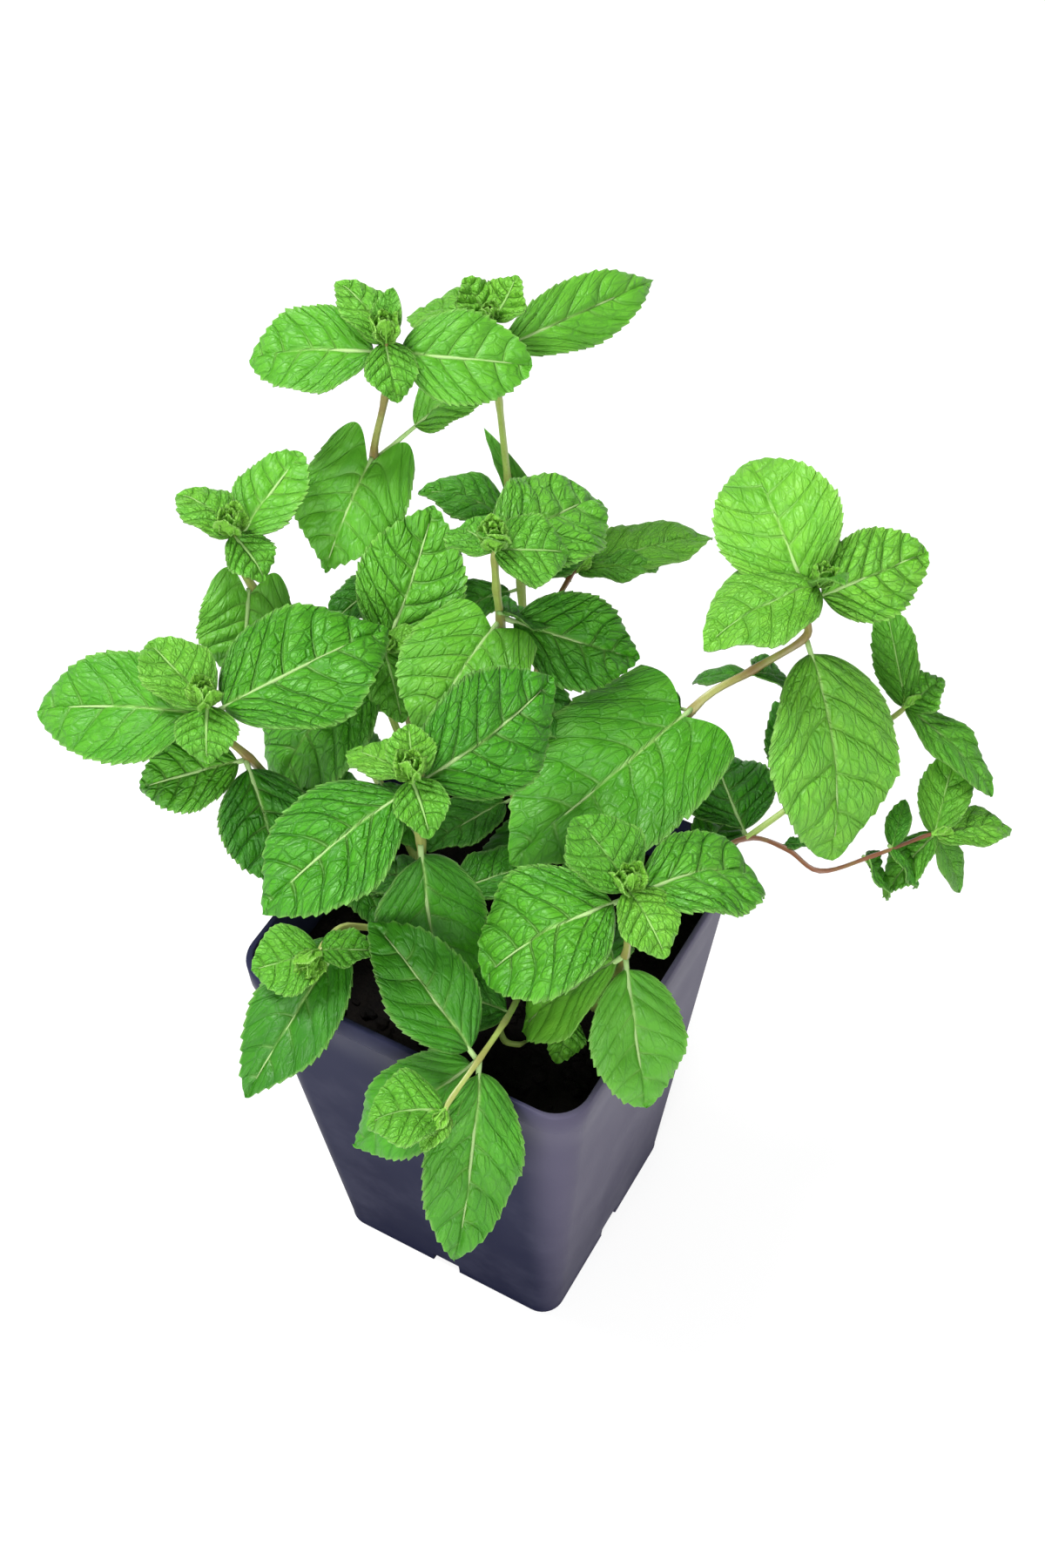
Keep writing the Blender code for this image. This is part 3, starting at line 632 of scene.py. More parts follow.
def leaf_finish(name, ages, furrow_painted_shade_green, pale_vein, glow, roughness, gloss, relief_depth):
    """A leaf side's finish: its green goes by age, painted darker in its furrows as painted shade, and paler
    on its midrib.
    """
    material, tree = new_material(name)
    vein, phase, youth, crinkle = (add_node(tree, "Attribute", attribute_name=fact).outputs["Fac"]
                                   for fact in FACTS)
    on_leaf = add_node(tree, "Attribute", attribute_name="on_leaf").outputs["Vector"]
    mottle = add_node(tree, "TexNoise", {"Vector": on_leaf, "Scale": 0.45, "Detail": 5, "Roughness": 0.65})
    shift = add_node(tree, "Math", {0: mottle, 1: 0.5}, operation="SUBTRACT")
    age = add_node(tree, "Math", {0: shift, 1: 0.55, 2: youth}, operation="MULTIPLY_ADD", use_clamp=True)
    green = add_node(tree, "ValToRGB", {"Fac": age})
    for place, _ in ages[1:-1]:
        green.color_ramp.elements.new(place)
    for element, (place, shade) in zip(green.color_ramp.elements, ages):
        element.position = place
        element.color = colour(shade)
    # A pillow rises from the side veins, from the cross veins of a coarse net and from those of a fine one.
    rises = [(add_node(tree, "Math", {0: phase, 1: 0.5}, operation="PINGPONG"), 0.07, 1)]
    for scale, weight in ((1, 0.6), (2.3, 0.22)):
        net = add_node(tree, "TexVoronoi", {"Vector": on_leaf, "Scale": scale}, feature="DISTANCE_TO_EDGE")
        rises.append((net, 0.13, weight))
    pillow = 1
    for distance, width, weight in rises:
        rise = add_node(tree, "MapRange", {"Value": distance, "From Max": width, "To Min": 1 - weight},
                        interpolation_type="SMOOTHSTEP")
        pillow = add_node(tree, "Math", {0: pillow, 1: rise}, operation="MULTIPLY")
    # The hollows along the veins and the net are painted darker, as painted shade, most on crinkled, older
    # leaves.
    hollow = add_node(tree, "Math", {0: 1, 1: pillow}, operation="SUBTRACT")
    deepest = add_node(tree, "Math", {0: crinkle, 1: 0.5, 2: 0.2}, operation="MULTIPLY_ADD")
    softer = add_node(tree, "Math", {0: youth, 1: -0.7, 2: 1.2}, operation="MULTIPLY_ADD")
    darkest = add_node(tree, "Math", {0: deepest, 1: softer}, operation="MULTIPLY")
    furrow_shade_share = add_node(tree, "Math", {0: hollow, 1: darkest}, operation="MULTIPLY", use_clamp=True)
    shaded = add_node(tree, "Mix", {SHARE: furrow_shade_share, FIRST: green, SECOND: colour(furrow_painted_shade_green)},
                      data_type="RGBA")
    tint = add_node(tree, "Mix", {SHARE: vein, FIRST: shaded, SECOND: colour(pale_vein)}, data_type="RGBA")
    cells = add_node(tree, "TexNoise", {"Vector": on_leaf, "Scale": 6, "Detail": 2})
    swell = add_node(tree, "Math", {0: pillow, 1: crinkle}, operation="MULTIPLY")
    height = add_node(tree, "Math", {0: cells, 1: 0.15, 2: swell}, operation="MULTIPLY_ADD")
    bump = add_node(tree, "Bump", {"Height": height, "Strength": 1, "Distance": relief_depth * MM})
    rough = add_node(tree, "MapRange", {
        "Value": cells, "From Min": 0.3, "From Max": 0.7,
        "To Min": roughness - 0.05, "To Max": roughness + 0.07})
    skin = add_node(tree, "BsdfPrincipled", {
        "Base Color": tint, "Roughness": rough, "Normal": bump, "Specular IOR Level": gloss})
    lit_through = add_node(tree, "Mix", {SHARE: youth, FIRST: colour(glow), SECOND: colour(YOUNG_GLOW)},
                           data_type="RGBA")
    through = add_node(tree, "BsdfTranslucent", {"Color": lit_through})
    both = add_node(tree, "MixShader", {0: THROUGH_SHARE, 1: skin, 2: through})
    add_node(tree, "OutputMaterial", {0: both})
    return material


leaf_upper = leaf_finish(
    "mint_leaf_upper_waxy", furrow_painted_shade_green="#1c620c", pale_vein="#a2cd70", glow="#7cc83c", roughness=0.46,
    gloss=0.45, relief_depth=0.6, ages=((0, "#286f07"), (0.35, "#419311"), (0.7, "#60ac2a"), (1, "#7ec438")))
leaf_under = leaf_finish(
    "mint_leaf_underside_downy", furrow_painted_shade_green="#5c9438", pale_vein="#b9d394", glow="#8cc84c", roughness=0.6,
    gloss=0.2, relief_depth=-0.2, ages=((0, "#4f8a2c"), (0.35, "#639c38"), (0.7, "#6fae40"), (1, "#80c640")))
LEAF_FINISHES = [leaf_upper, leaf_under]
print("a leaf side's finish has", len(leaf_upper.node_tree.nodes), "nodes")

# %% [markdown]
# ## The shape of a blade
#
# The outline is an egg: half its width along the blade is a sine whose middle is pulled a little towards
# the base. A few of the lower leaves are heart shaped: their base runs back past the stalk in two round
# lobes. The margin stands out in small teeth that point forwards, no two of quite the same size.

# %% Outline and teeth
EGG = 0.88  # below 1, it pulls the widest place towards the base
SHOULDER = 0.6  # the lower, the blunter both ends
TAPER = 0.34  # how much narrower the point's half of the blade is
LOBE_SHARE = 0.35  # of the blade, which the lobes of a heart-shaped leaf take
LOBE_BASE = 0.8  # a heart's width at its base, as a share of its widest
TOOTH_PEAK = 0.8  # how far along a tooth its point lies


def blade_half(share, taper, lobed):
    """Half the outline's width at a share of the blade, as a share of the widest half."""
    if lobed and share < LOBE_SHARE:
        return LOBE_BASE + (0.99 - LOBE_BASE) * math.sin(math.pi / 2 * share / LOBE_SHARE)
    return max(0.0, math.sin(math.pi * share ** EGG)) ** (SHOULDER + taper * share)


def tooth(share, count, side, seed):
    """How far the margin stands out, from 0 in a notch to about 1 at a tooth's forward point."""
    place = share * count + (0.4 if side > 0 else 0)
    size = 0.8 + 0.9 * noise.noise(Vector((1.7 * math.floor(place) + 0.5, 5.3 * side, 3 * seed)))
    place %= 1
    rise = place / TOOTH_PEAK if place < TOOTH_PEAK else (1 - place) / (1 - TOOTH_PEAK)
    fade = min(1, share / 0.15) * min(1, (1 - share) / 0.05 + 0.2)
    return max(0.3, size) * rise * fade


widest = max(range(100), key=lambda percent: blade_half(percent / 100, TAPER, False))
print("a blade is widest at", widest, "% of its length")

# %% [markdown]
# Five veins leave the midrib on each side and bend towards the point. Between them the blade domes up, and
# noise of the size of a pillow crumples each dome. Noise also moves every vein a little off its rule.

# %% Veins and the domes between them
VEIN_BEND = 0.4  # how far up the blade a side vein has run when it meets the margin
VEIN_OFFSET = 0.35  # how much the veins of one side stand before those of the other
VEIN_WANDER = 0.18  # how far noise moves a vein, as a share of their spacing
LEAST_DEPTH = 0.4  # how deep the relief of a leaf without crinkles still is
PALEST = 0.78  # how pale the midrib is at its palest


def vein_phase(across, share, count):
    """Which side vein passes here, as a number that is whole on a vein."""
    bend = VEIN_BEND * abs(across) ** 1.3
    root = (share - bend) / (1 - bend)
    return count * (root if root < 0 else root ** 0.92) + (VEIN_OFFSET if across > 0 else 0)


def relief(across, share, half, length, look, seed, crinkle):
    """How high the surface stands in mm, how pale it is, the vein phase and the place in pillows."""
    reach = across * half
    spot = Vector((share * length, reach, 7 * seed))
    phase = vein_phase(across, share, look["veins"]) + VEIN_WANDER * noise.noise(spot / 8)
    spacing = 0.8 * length / look["veins"]
    off_vein = abs(phase - round(phase))
    # The relief fades out at the stalk, at the point and at the margin.
    fade = min(1, share / 0.04) * min(1, (1 - share) / 0.08) * (1 - abs(across) ** 8)
    midrib = bell(reach, look["midrib"])
    side_vein = bell(off_vein * spacing, look["side_vein"])
    crumple = look["crumple"] * noise.noise(spot / look["pillow"])
    swell = look["dome"] * math.sin(math.pi * off_vein) + crumple
    depth = (LEAST_DEPTH + (1 - LEAST_DEPTH) * crinkle) * (1 - midrib) * fade
    height = (swell - look["sink"] * side_vein) * depth - look["sink"] * midrib * min(1, 10 - 10 * share)
    # The midrib is pale on the first part of the blade, the side veins only near it, and the edge all round.
    pale = bell(reach, 0.5 * look["midrib"]) * min(PALEST, 1.5 * max(0, 0.8 - share)) * look["pale"]
    pale_side = 0.3 * look["pale"] * bell(off_vein * spacing, 0.3) * bell(across, 0.35) * fade
    edge = 0.3 * max(0, (abs(across) - 0.93) / 0.07)
    pillows = Vector((0.8 * phase * spacing, 1.15 * reach, 0)) / look["pillow"]
    return height, max(pale, pale_side, edge), phase, pillows


# Lengths are in mm: a side vein's and the midrib's half widths, how deep they sink, how high the domes
# swell, the size and height of the pillows, the teeth, and the waves of the margin. `rows` is the rows of
# faces that each tooth has, `columns` those across the blade, and `stalk` the stalk's share of the length.
GROWN = {"veins": 5.2, "midrib": 0.62, "side_vein": 0.6, "sink": 0.4, "dome": 0.75, "pillow": 3.0,
         "crumple": 0.3, "teeth": 17, "tooth_depth": 0.55, "rows": 5, "columns": 36, "wave": 0.8,
         "stalk": 0.045, "pale": 1, "taper": TAPER}
YOUNG = {**GROWN, "veins": 4.6, "midrib": 0.45, "side_vein": 0.4, "dome": 0.6, "pillow": 1.5, "crumple": 0.5,
         "teeth": 11, "tooth_depth": 0.45, "rows": 4, "columns": 30, "wave": 0.7, "stalk": 0, "pale": 0.6}
TINY = {**YOUNG, "veins": 4, "midrib": 0.3, "side_vein": 0.3, "sink": 0.2, "dome": 0.3, "pillow": 1.0,
        "crumple": 0.3, "teeth": 7, "tooth_depth": 0.4, "rows": 2, "columns": 12, "wave": 0.3, "pale": 0.15}
INNER = {**YOUNG, "veins": 5, "pillow": 2.2, "rows": 3, "columns": 24, "stalk": 0.12, "pale": 1}
LEAF_THICKNESS = 0.3
FOLD = math.radians(12)  # how far each half rises from the midrib, near the midrib

# %% [markdown]
# ## Growing a leaf
#
# A leaf's blade starts as a flat grid, -1 to 1 across and along. Each vertex is moved to its place on the
# blade: its outline, the arch of the midrib, the fold, slow waves and the relief of the veins. The sheet is
# then extruded downwards for its thickness. Its stalk is a tapering rib, swept from inside the stem's skin
# to the blade and on under the midrib. Each leaf draws its own sideways bow, cupping and ripple.

# %% Leaf directions and surface
def leaf_axes(start, tip, roll=0.0, facing=UP):
    """Directions along the midrib, to the leaf's side and out of its upper face, which faces a given way."""
    along = (tip - start).normalized()
    side = along.cross(facing).normalized()
    turn = Matrix.Rotation(math.radians(-roll), 3, along)
    return along, turn @ side, turn @ side.cross(along)


def midrib_point(leaf, share):
    """A point of the midrib at a share of the leaf's whole length, before the blade's relief."""
    bow = 4 * share * (1 - share)
    droop = 0.05 * leaf["length"] * max(0, (share - 0.7) / 0.3) ** 2
    ahead = leaf["start"] + leaf["along"] * (leaf["length"] * share)
    return ahead + leaf["side"] * (bow * leaf["sway"]) + leaf["face"] * (bow * leaf["arch"] - droop)


NARROWEST = 0.6  # half the blade's width where it leaves the stalk, in mm


def surface_point(leaf, across, blade):
    """A point of the upper side in mm, how pale it is, its vein phase and its place in pillows."""
    look, length, seed = leaf["look"], leaf["length"], leaf["seed"]
    outline = leaf["width"] / 2 * blade_half(blade, look["taper"], leaf["lobe"] > 0)
    half = max(outline, NARROWEST * (1 - blade))
    side = 1 if across > 0 else -1
    stand_out = tooth(blade, look["teeth"], side, seed) * abs(across) ** 9 * look["tooth_depth"]
    reach = across * half + side * stand_out
    back = leaf["lobe"] * max(0, 1 - blade / LOBE_SHARE) ** 2 * math.sin(0.87 * math.pi * abs(across) ** 1.1)
    lift = abs(reach) * math.tan(FOLD) * (1 - leaf["cup"] * abs(across))
    wave = look["wave"] * across ** 2 * math.sin(math.tau * (2.1 * blade + seed + 0.4 * side))
    ripple = 1.6 * look["wave"] * noise.noise(Vector((blade * length / 10, reach / 8, 5 * seed)))
    height, pale, phase, pillows = relief(across, blade, half, length, look, seed, leaf["crinkle"])
    middle = midrib_point(leaf, look["stalk"] + (1 - look["stalk"]) * blade)
    place = middle + leaf["along"] * (0.7 * stand_out - back) + leaf["side"] * reach
    return place + leaf["face"] * (lift + wave + ripple * min(1, blade / 0.1) + height), pale, phase, pillows


# %% Grow one leaf into a bmesh
CROWDING = 0.38  # how much closer the grid's columns stand near the midrib
WELD = 0.002  # vertices this near in mm become one


def grow_leaf(bm, start, tip, width, arch, look, youth, seed, axes, lobe=0.0, crinkle=1.0):
    """Adds one leaf: a thin closed blade with its stalk and rib."""
    along, side, face = axes
    chance = random.Random(seed)
    length = (tip - start).length
    cup, sway = chance.uniform(0.3, 1.2), chance.uniform(-0.03, 0.03) * length
    leaf = {"start": start, "length": length, "width": width, "arch": arch, "along": along, "side": side,
            "face": face, "look": look, "lobe": lobe, "crinkle": crinkle, "seed": seed, "cup": cup,
            "sway": sway}
    facts = [bm.verts.layers.float[fact] for fact in FACTS]
    on_leaf = bm.verts.layers.float_vector["on_leaf"]
    sheet = bmesh.ops.create_grid(bm, x_segments=look["columns"], y_segments=look["teeth"] * look["rows"],
                                  size=1)["verts"]
    for vert in sheet:
        across = math.copysign((1 - CROWDING) * abs(vert.co.x) + CROWDING * vert.co.x ** 2, vert.co.x)
        vert.co, pale, phase, pillows = surface_point(leaf, across, (vert.co.y + 1) / 2)
        vert[on_leaf] = pillows + UP * (20 * seed)
        for layer, value in zip(facts, (pale, phase, youth, crinkle)):
            vert[layer] = value
    bmesh.ops.remove_doubles(bm, verts=sheet, dist=WELD)
    top = {polygon for vert in sheet if vert.is_valid for polygon in vert.link_faces}
    made = bmesh.ops.extrude_face_region(bm, geom=list(top), use_keep_orig=True)["geom"]
    under = of_kind(made, bmesh.types.BMFace)
    bmesh.ops.translate(bm, vec=-face * LEAF_THICKNESS, verts=of_kind(made, bmesh.types.BMVert))
    for polygon in under:
        polygon.material_index = 1
    rim = {edge for polygon in top for edge in polygon.edges if any(f not in top for f in edge.link_faces)}
    blade = list(top.union(under).union(polygon for edge in rim for polygon in edge.link_faces))
    bmesh.ops.recalc_face_normals(bm, faces=blade)
    bm.normal_update()
    # A thin folded sheet can be turned inside out by that, which its upper side shows.
    if sum(polygon.normal.dot(face) * polygon.calc_area() for polygon in top) < 0:
        bmesh.ops.reverse_faces(bm, faces=blade)
    for polygon in blade:
        polygon.smooth = True
    for edge in rim:
        edge.smooth = False
    grow_rib(bm, leaf, youth)


def grow_rib(bm, leaf, youth):
    """The stalk, and the rib that carries it on under the midrib."""
    thick = leaf["look"]["midrib"]
    # The shares of the leaf's length at which the rib has a ring. The first lies inside the stem's skin.
    stations = [-0.8 / leaf["length"], 0.02, 0.05, 0.1, 0.16, 0.24, 0.34, 0.46, 0.58, 0.7, 0.8, 0.88]
    radii = [thick * (1.05 - 0.95 * share) for share in stations]
    depths = [0.75 * radius + 0.5 * min(1, share / 0.1) * thick + 0.1
              for share, radius in zip(stations, radii)]
    route = [midrib_point(leaf, share) - leaf["face"] * depth for share, depth in zip(stations, depths)]
    before = set(bm.verts)
    sweep(bm, route, radii, 8)
    rib = [vert for vert in bm.verts if vert not in before]
    rib_faces = list({face for vert in rib for face in vert.link_faces})
    bmesh.ops.recalc_face_normals(bm, faces=rib_faces)
    for face in rib_faces:
        face.smooth = True
        face.material_index = 1
    for vert in rib:
        for fact, value in zip(FACTS, (0.7 * leaf["look"]["pale"], 0.5, youth, 0)):
            vert[bm.verts.layers.float[fact]] = value


def new_foliage():
    """A bmesh whose vertices can keep the facts that the leaf finishes read."""
    bm = bmesh.new()
    for fact in FACTS:
        bm.verts.layers.float.new(fact)
    bm.verts.layers.float_vector.new("on_leaf")
    return bm


# %% [markdown]
# ## Grown leaves
#
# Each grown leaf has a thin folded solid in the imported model. The solid starts where it comes nearest to
# its stem, and its point is the corner farthest from there. Across that line it spreads most to its sides,
# and its margins are raised towards its upper face. So it gives every measure that the detailed leaf needs.

# %% Measure a leaf's solid
# What sets a leaf apart from the rest: `age`, how much older (below 0) or younger it looks than its height
# alone would make it; `crinkle`, lower on leaves that hung in shade; `taper`, how narrow its point is;
# `lobe`, how far the base of a heart reaches back in mm; `stalk`, the stalk's share of the length; and
# `breadth`, the blade's width as a share of its solid's.
USUAL = {"age": 0, "crinkle": 1, "taper": TAPER, "lobe": 0, "stalk": GROWN["stalk"], "breadth": 0.95}
TRAITS = {
    "centre_down": {"crinkle": 0.45},
    "centre_left": {"age": -0.15},
    "centre_right": {"age": -0.3},
    # corner_behind hangs in shade under corner_left; its age is raised in part to paint it lighter, as
    # painted light.
    "corner_behind": {"age": 0.55, "crinkle": 0.15, "breadth": 1.1},
    "corner_down": {"age": 0.35, "crinkle": 0.25, "taper": 0.1},
    "corner_left": {"age": 0.1, "taper": 0.1},
    "corner_right": {"age": 0.15, "taper": 0.6},
    "inner_down": {"age": 0.1},
    "left_in": {"age": -0.15},
    "left_low_in": {"age": -0.2, "taper": 0.1},
    "left_low_out": {"age": 0.15},
    "left_out": {"crinkle": 0.55, "taper": 0.08},
    "low_hanging": {"age": -0.15, "crinkle": 0.4},
    "middle_low_left": {"age": 0.2, "crinkle": 0.6, "lobe": 3},
    "middle_low_right": {"age": -0.05},
    "rear_right": {"age": -0.05, "crinkle": 0.5, "taper": 0.5},
    "right_behind": {"age": -0.2, "crinkle": 0.4},
    "right_broad": {"age": 0.05, "crinkle": 0.6, "lobe": 4},
    "right_hanging": {"age": 0.55, "crinkle": 0.75, "taper": 0.15},
    "right_out": {"age": 0.3, "taper": 0.1},
    "right_up": {"age": 0.2, "crinkle": 0.55, "taper": 0.05},
    "rim_behind": {"age": 0.25, "crinkle": 0.3},
    "rim_hanging": {"age": 0.35, "crinkle": 0.5},
    "rim_under": {"crinkle": 0.25},
    "rim_up": {"age": -0.2, "crinkle": 0.4},
    "runner_flat": {"age": -0.1},
    "tall_heart": {"age": 0.05, "crinkle": 0.4, "taper": 0.8, "lobe": 8},
    "tall_left": {"age": -0.2, "crinkle": 0.5, "taper": 0.08},
    "tall_right": {"age": -0.2, "crinkle": 0.5, "taper": 0.08},
    "tall_under": {"crinkle": 0.4, "stalk": 0.32},
    "west_heart": {"age": 0.2, "crinkle": 0.45, "taper": 0.5, "lobe": 6},
    "west_right": {"crinkle": 0.5, "taper": 0.1},
}


END_REACH = 1.8  # corners this near in mm belong to the same end of a solid
SOLID_HALF = 0.25  # half the solid's thickness in mm


def middle_of(points):
    """The mean of some points."""
    return sum(points, Vector()) / len(points)


def measure_leaf(node):
    """Where a leaf's solid starts and ends in mm, its directions, width and arch."""
    corners = {tuple(round(c / MM, 2) for c in vert.co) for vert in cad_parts[node].data.vertices}
    corners = [Vector(corner) for corner in corners]
    route = smooth_route(STEMS[node.split("_")[1]][2], 6)
    nearest = min(corners, key=lambda corner: min((corner - place).length for place in route))
    farthest = max(corners, key=lambda corner: (corner - nearest).length)
    start, tip = (middle_of([corner for corner in corners if (corner - end).length < END_REACH])
                  for end in (nearest, farthest))
    along = (tip - start).normalized()
    flat = [corner - start - along * (corner - start).dot(along) for corner in corners]
    guess = max(flat, key=lambda offset: offset.length)
    centre = middle_of(flat)
    turns = [Matrix.Rotation(math.radians(angle), 3, along) @ guess.normalized() for angle in range(-40, 41)]
    side = max(turns, key=lambda turn: sum((offset - centre).dot(turn) ** 2 for offset in flat))
    face = side.cross(along)
    if sum((offset - centre).dot(face) * abs(offset.dot(side)) for offset in flat) < 0:
        side, face = -side, -face
    reach = max(abs(offset.dot(side)) for offset in flat)
    ridge = [offset.dot(face) for offset in flat if abs(offset.dot(side)) < 0.1 * reach]
    return start, tip, (along, side, face), 2 * reach / math.cos(FOLD), max(ridge) - SOLID_HALF


# %% Grow the leaves that have a solid
# A leaf's youth at the height of the lowest ones, and the height in mm over which it would go from 0 to 1.
LOWEST_LEAF, LOWEST_YOUTH, AGEING_HEIGHT = 110, 0.15, 200
random.seed(11)
leaf_nodes = sorted(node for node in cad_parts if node.startswith("leaf_"))
for number, node in enumerate(leaf_nodes):
    start, tip, axes, width, arch = measure_leaf(node)
    bm = new_foliage()
    name = node.removeprefix("leaf_")
    traits = {**USUAL, **TRAITS.get(name, {})}
    youth = LOWEST_YOUTH + (tip.z - LOWEST_LEAF) / AGEING_HEIGHT + traits["age"]
    youth += random.uniform(-0.05, 0.05)
    look = {**GROWN, "taper": traits["taper"], "stalk": traits["stalk"]}
    grow_leaf(bm, start, tip, traits["breadth"] * width, arch, look, min(0.85, max(0, youth)),
              0.37 * number, axes, traits["lobe"], traits["crinkle"])
    make_piece(bm, name + "_leaf", LEAF_FINISHES, "leaf", node)
    print(f"{name}: {(tip - start).length:.0f} mm long, {width:.0f} mm wide, arched {arch:.1f} mm")

# %% [markdown]
# ## Growing tips
#
# A shoot ends in young leaves in crossed pairs, each pair smaller than the one below and turned by 90
# degrees, round a bud of folded leaves a few millimetres long. The larger young leaves lie where the packed
# model has them; the bud's leaves are set round the shoot's own direction.

# %% Where the young leaves point
# For each shoot: its bud's size, 1 at most, and each young leaf's point in mm, width, arch and roll.
TIPS = {
    "tall": (1, [((-68, 54, 247), 10, 2, 0), ((-46, 42, 230), 10, 1, 0), ((-55, 56, 248), 6, 1, 0)]),
    "rear": (0.6, [((-50, 78, 238), 10, -1, 0), ((-40, 83, 239), 10, -1, 0), ((-65, 76, 223), 14, 2, 0)]),
    "west": (1, [((-88, 13, 209), 11, 2, 0), ((-61, 7, 199), 10, 1, 0)]),
    "middle": (1, [((-24, 29, 214), 13, 1, 0), ((1, 34, 214), 15, 1, -20), ((-12, 20, 224), 6, 1, 0)]),
    "left": (1, [((-75, -19, 197), 14, 2, 0), ((-50, -35, 186), 12, 2, 0)]),
    "centre": (1, [((-10, -16, 202), 9, 1, 0), ((5, -33, 192), 10, 1, 0), ((-25, -18, 188), 10, 1, 0)]),
    "right": (0.8, [((29, 44, 190), 20, 2, 0), ((54, 60, 208), 7, 1, 0)]),
    "corner": (1, [((24, -6, 181), 17, 2, -10), ((54, -21, 168), 12, 1, 0)]),
    "rim": (0.8, [((8, -70, 136), 16, 2, 0), ((22, -70, 136), 6, 1, 0)]),
    "low": (1, [((-32, -53, 144), 14, 1, 30), ((-9, -37, 148), 9, 1, 0)]),
    "runner": (0.6, [((79, 88, 138), 11, 2, 0), ((98, 82, 125), 11, 1, 0), ((93, 66, 114), 8, 1, 0),
        ((77, 56, 116), 9, 1, 0)]),
    "inner": (0.6, [((-28, 8, 168), 11, 1, 0), ((-30, 22, 184), 7, 1, 0)]),
    "twig": (0.6, [((-1, 116, 150), 15, 2, 0), ((-5, 92, 157), 9, 1, 0)]),
    "fork": (0.6, [((50, 104, 161), 10, 1, 30), ((72, 90, 157), 11, 1, 0), ((92, 81, 135), 11, 3, 0)]),
}
# The bud's own pairs: length, width and lean from the shoot's direction in degrees.
BUD_PAIRS = ((8.0, 6.5, 20), (7.6, 5.4, 11), (7.0, 4.2, 5), (6.0, 3.0, 2))
YOUNG_CRINKLE = 0.7
YOUNG_BREADTH = 1.15  # the blades' width as a share of the widths above
TINY_WIDTH = 8  # up to this width in mm, a young leaf has the tiniest leaves' look


def grow_bud(bm, foot, ahead, size, seed):
    """Crossed pairs of folded leaves round a shoot's end, their upper faces turned inwards."""
    across = ahead.orthogonal().normalized()
    for level, (length, width, lean) in enumerate(BUD_PAIRS):
        for half_turn in (0, 180):
            out = Matrix.Rotation(math.radians(90 * level + half_turn + 40 * seed), 3, ahead) @ across
            lean_angle = math.radians(lean)
            tip = foot + (ahead * math.cos(lean_angle) + out * math.sin(lean_angle)) * (size * length)
            axes = leaf_axes(foot, tip, facing=ahead - out * 0.6)
            grow_leaf(bm, foot, tip, size * width, -0.1 * size * length, TINY, 1, seed + level, axes,
                      crinkle=YOUNG_CRINKLE)


for number, (shoot, (bud_size, young)) in enumerate(TIPS.items()):
    points = [Vector(point) for point in STEMS[shoot][2]]
    ahead = (points[-1] - points[-2]).normalized()
    foot = points[-1]
    bm = new_foliage()
    for index, (point, width, arch, roll) in enumerate(young):
        tip = Vector(point)
        look = YOUNG if width > TINY_WIDTH else TINY
        grow_leaf(bm, foot, tip, YOUNG_BREADTH * width, arch, look, random.uniform(0.55, 0.85),
                  number + 0.31 * index, leaf_axes(foot, tip, roll), crinkle=YOUNG_CRINKLE)
    grow_bud(bm, foot, ahead, bud_size, 0.7 * number)
    piece = make_piece(bm, shoot + "_growing_tip", LEAF_FINISHES, "young_leaf", "tip_" + shoot)
print(len(TIPS), "growing tips; the last has", len(piece.data.polygons), "faces")

# %% [markdown]
# ## Small leaves along the stems
#
# Each joint of a mint stem bears a pair of leaves, and a small shoot can wake between leaf and stem. These
# lesser leaves are too many for a solid each, so they exist only here. They fill the inside and far side.

# %% Where the small leaves are
# Each: where it starts and where its point lies in mm, its width, arch, roll and youth.
SMALL_LEAVES = {
    "rear_curled": ((-22, 76, 158), (-52, 87, 186), 7, 7, 30, 0.5),
    "rear_low": ((-40, 78, 180), (-24, 78, 171), 12, 2, 0, 0.35),
    "rear_inner": ((-36, 73, 172), (-58, 66, 180), 17, 3, 0, 0.4),
    "rear_under": ((-36, 73, 172), (-50, 71, 164), 12, 2, 0, 0.35),
    "middle_joint": ((-13, 28, 194), (-9, 39, 182), 13, 1, 0, 0.15),
    "right_joint_near": ((35, 57, 171), (20, 59, 159), 7, 1, 0, 0.3),
    "right_joint_far": ((36, 58, 171), (42, 68, 159), 13, 2, 0, 0.25),
    "fork_foot": ((52, 56, 138), (38, 70, 151), 12, 2, 0, 0.1),
    "rim_foot": ((19, -28, 132), (-9, -38, 140), 22, 2, 0, 0.15),
    "runner_near": ((72, 51, 132), (78, 55, 116), 11, 1, 0, 0.4),
    "runner_far": ((76, 57, 132), (83, 61, 116), 10, 1, 0, 0.35),
    "runner_upper": ((76, 57, 132), (74, 68, 137), 6, 1, 0, 0.35),
    "runner_withered": ((53, 46, 131), (58, 47, 133), 3.5, 0.5, 0, 0.0),
    "seedling": ((27, -15.5, 120), (30, -25, 114.5), 9.5, 3, 25, 0.7),
}
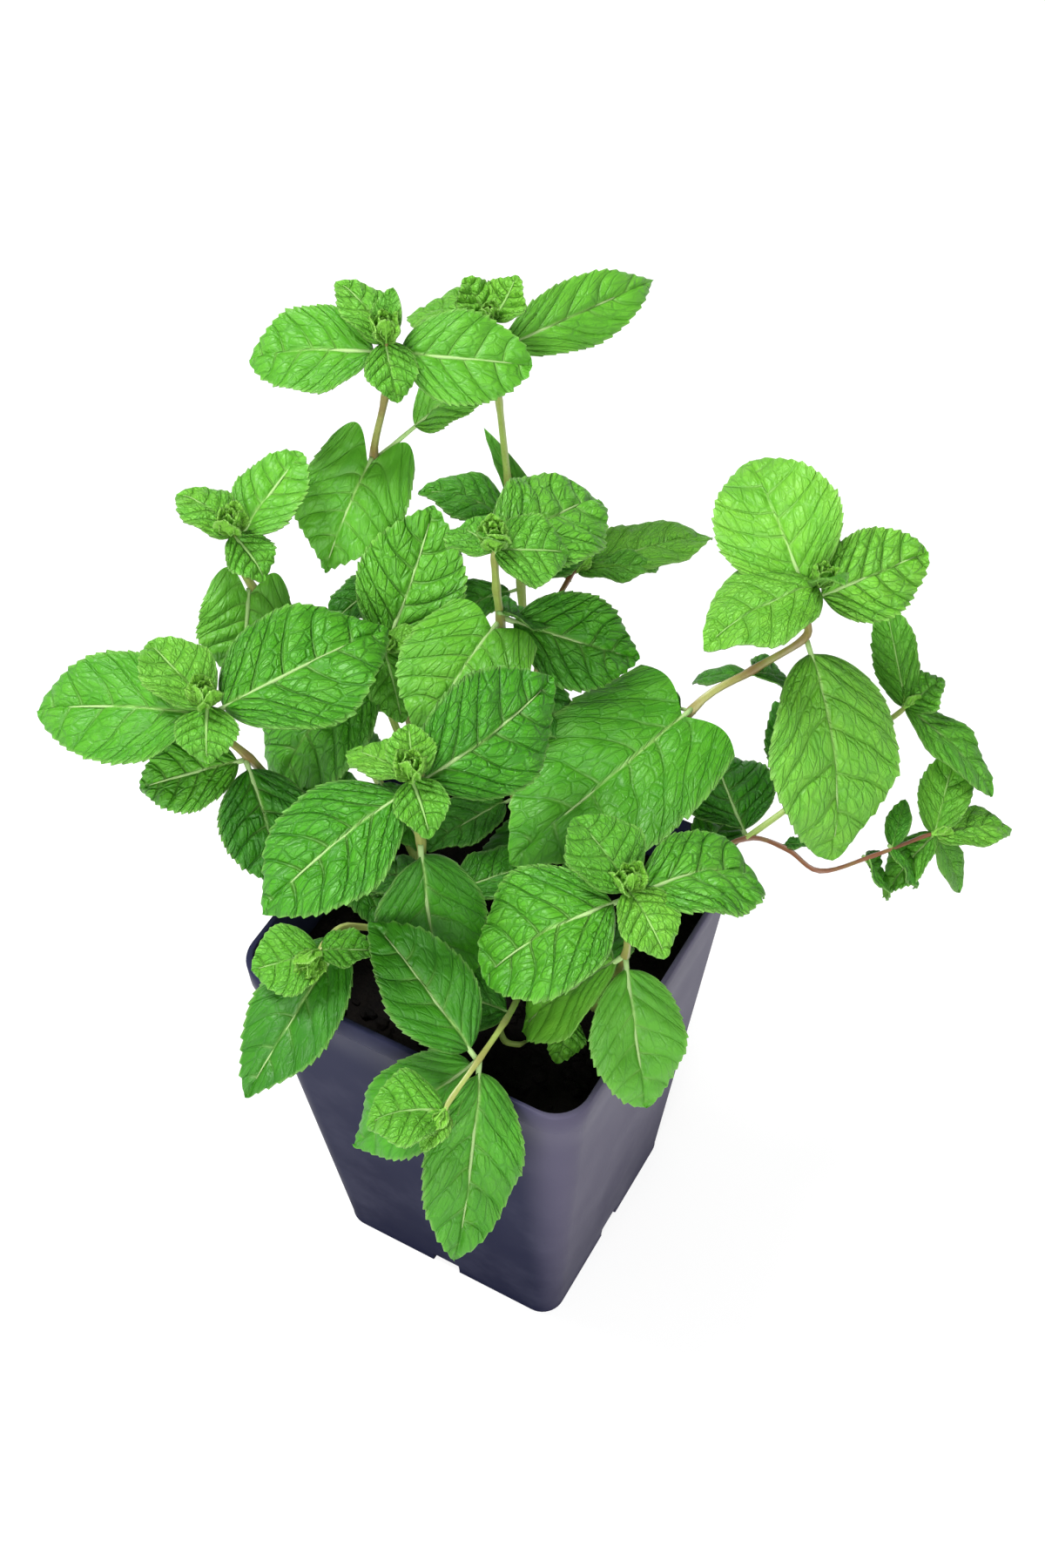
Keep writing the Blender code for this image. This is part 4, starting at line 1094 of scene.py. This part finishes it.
# The leaves at the stems' two lower joints, front one first. Each: the way it points, as an angle from the
# X axis in degrees, how far its point drops, and its length, in mm.
INNER_LEAVES = {
    "tall": (((165, 6, 24), (345, 4, 22)), ((75, 4, 22), (240, 8, 20))),
    "rear": (((120, 4, 24), (300, 6, 22)), ((75, 2, 24), (225, 8, 24))),
    "west": (((150, 6, 24), (330, 2, 24)), ((60, 4, 22), (225, 6, 20))),
    "left": (((150, 8, 24), (330, 4, 22)), ((60, 8, 20),)),
    "middle": (((60, 4, 26), (240, 4, 24)), ((150, 6, 22), (345, 4, 22))),
    "centre": (((60, 6, 28), (180, 6, 22)),),
    "right": (((105, 4, 24), (270, 6, 24)), ((180, 8, 22),)),
    "corner": (((120, 6, 22),),),
    "runner": (((90, 4, 22),),),
}
INNER_SHAPE = 0.56  # an inner leaf's width as a share of its length
INNER_ARCH = 2
INNER_YOUTHS = (0.1, 0.17, 0.25, 0.14, 0.21)


def inner_leaves():
    """The inner leaves as rows like those of the small leaves, by name."""
    rows = {}
    for stem, pairs in INNER_LEAVES.items():
        for level, joint, pair in zip(("lower", "upper"), STEMS[stem][2][1:], pairs):
            for place, (angle, drop, length) in zip(("front", "back"), pair):
                start, turned = Vector(joint), math.radians(angle)
                tip = start + Vector((length * math.cos(turned), length * math.sin(turned), -drop))
                youth = INNER_YOUTHS[len(rows) % len(INNER_YOUTHS)]
                rows[f"{stem}_{level}_{place}"] = (start, tip, INNER_SHAPE * length, INNER_ARCH, 0, youth)
    return rows


inner = inner_leaves()
print(len(SMALL_LEAVES), "small leaves and", len(inner), "inner leaves")

# %% Grow the small leaves
for number, (name, row) in enumerate({**SMALL_LEAVES, **inner}.items()):
    start, tip, width, arch, roll, youth = row
    start, tip = Vector(start), Vector(tip)
    look = INNER if name in inner else YOUNG if width > TINY_WIDTH else TINY
    bm = new_foliage()
    grow_leaf(bm, start, tip, width, arch, look, youth, 20 + 0.43 * number, leaf_axes(start, tip, roll),
              crinkle=YOUNG_CRINKLE)
    piece = make_piece(bm, name + "_leaf", LEAF_FINISHES, "leaf")
print("the last small leaf has", len(piece.data.polygons), "faces")
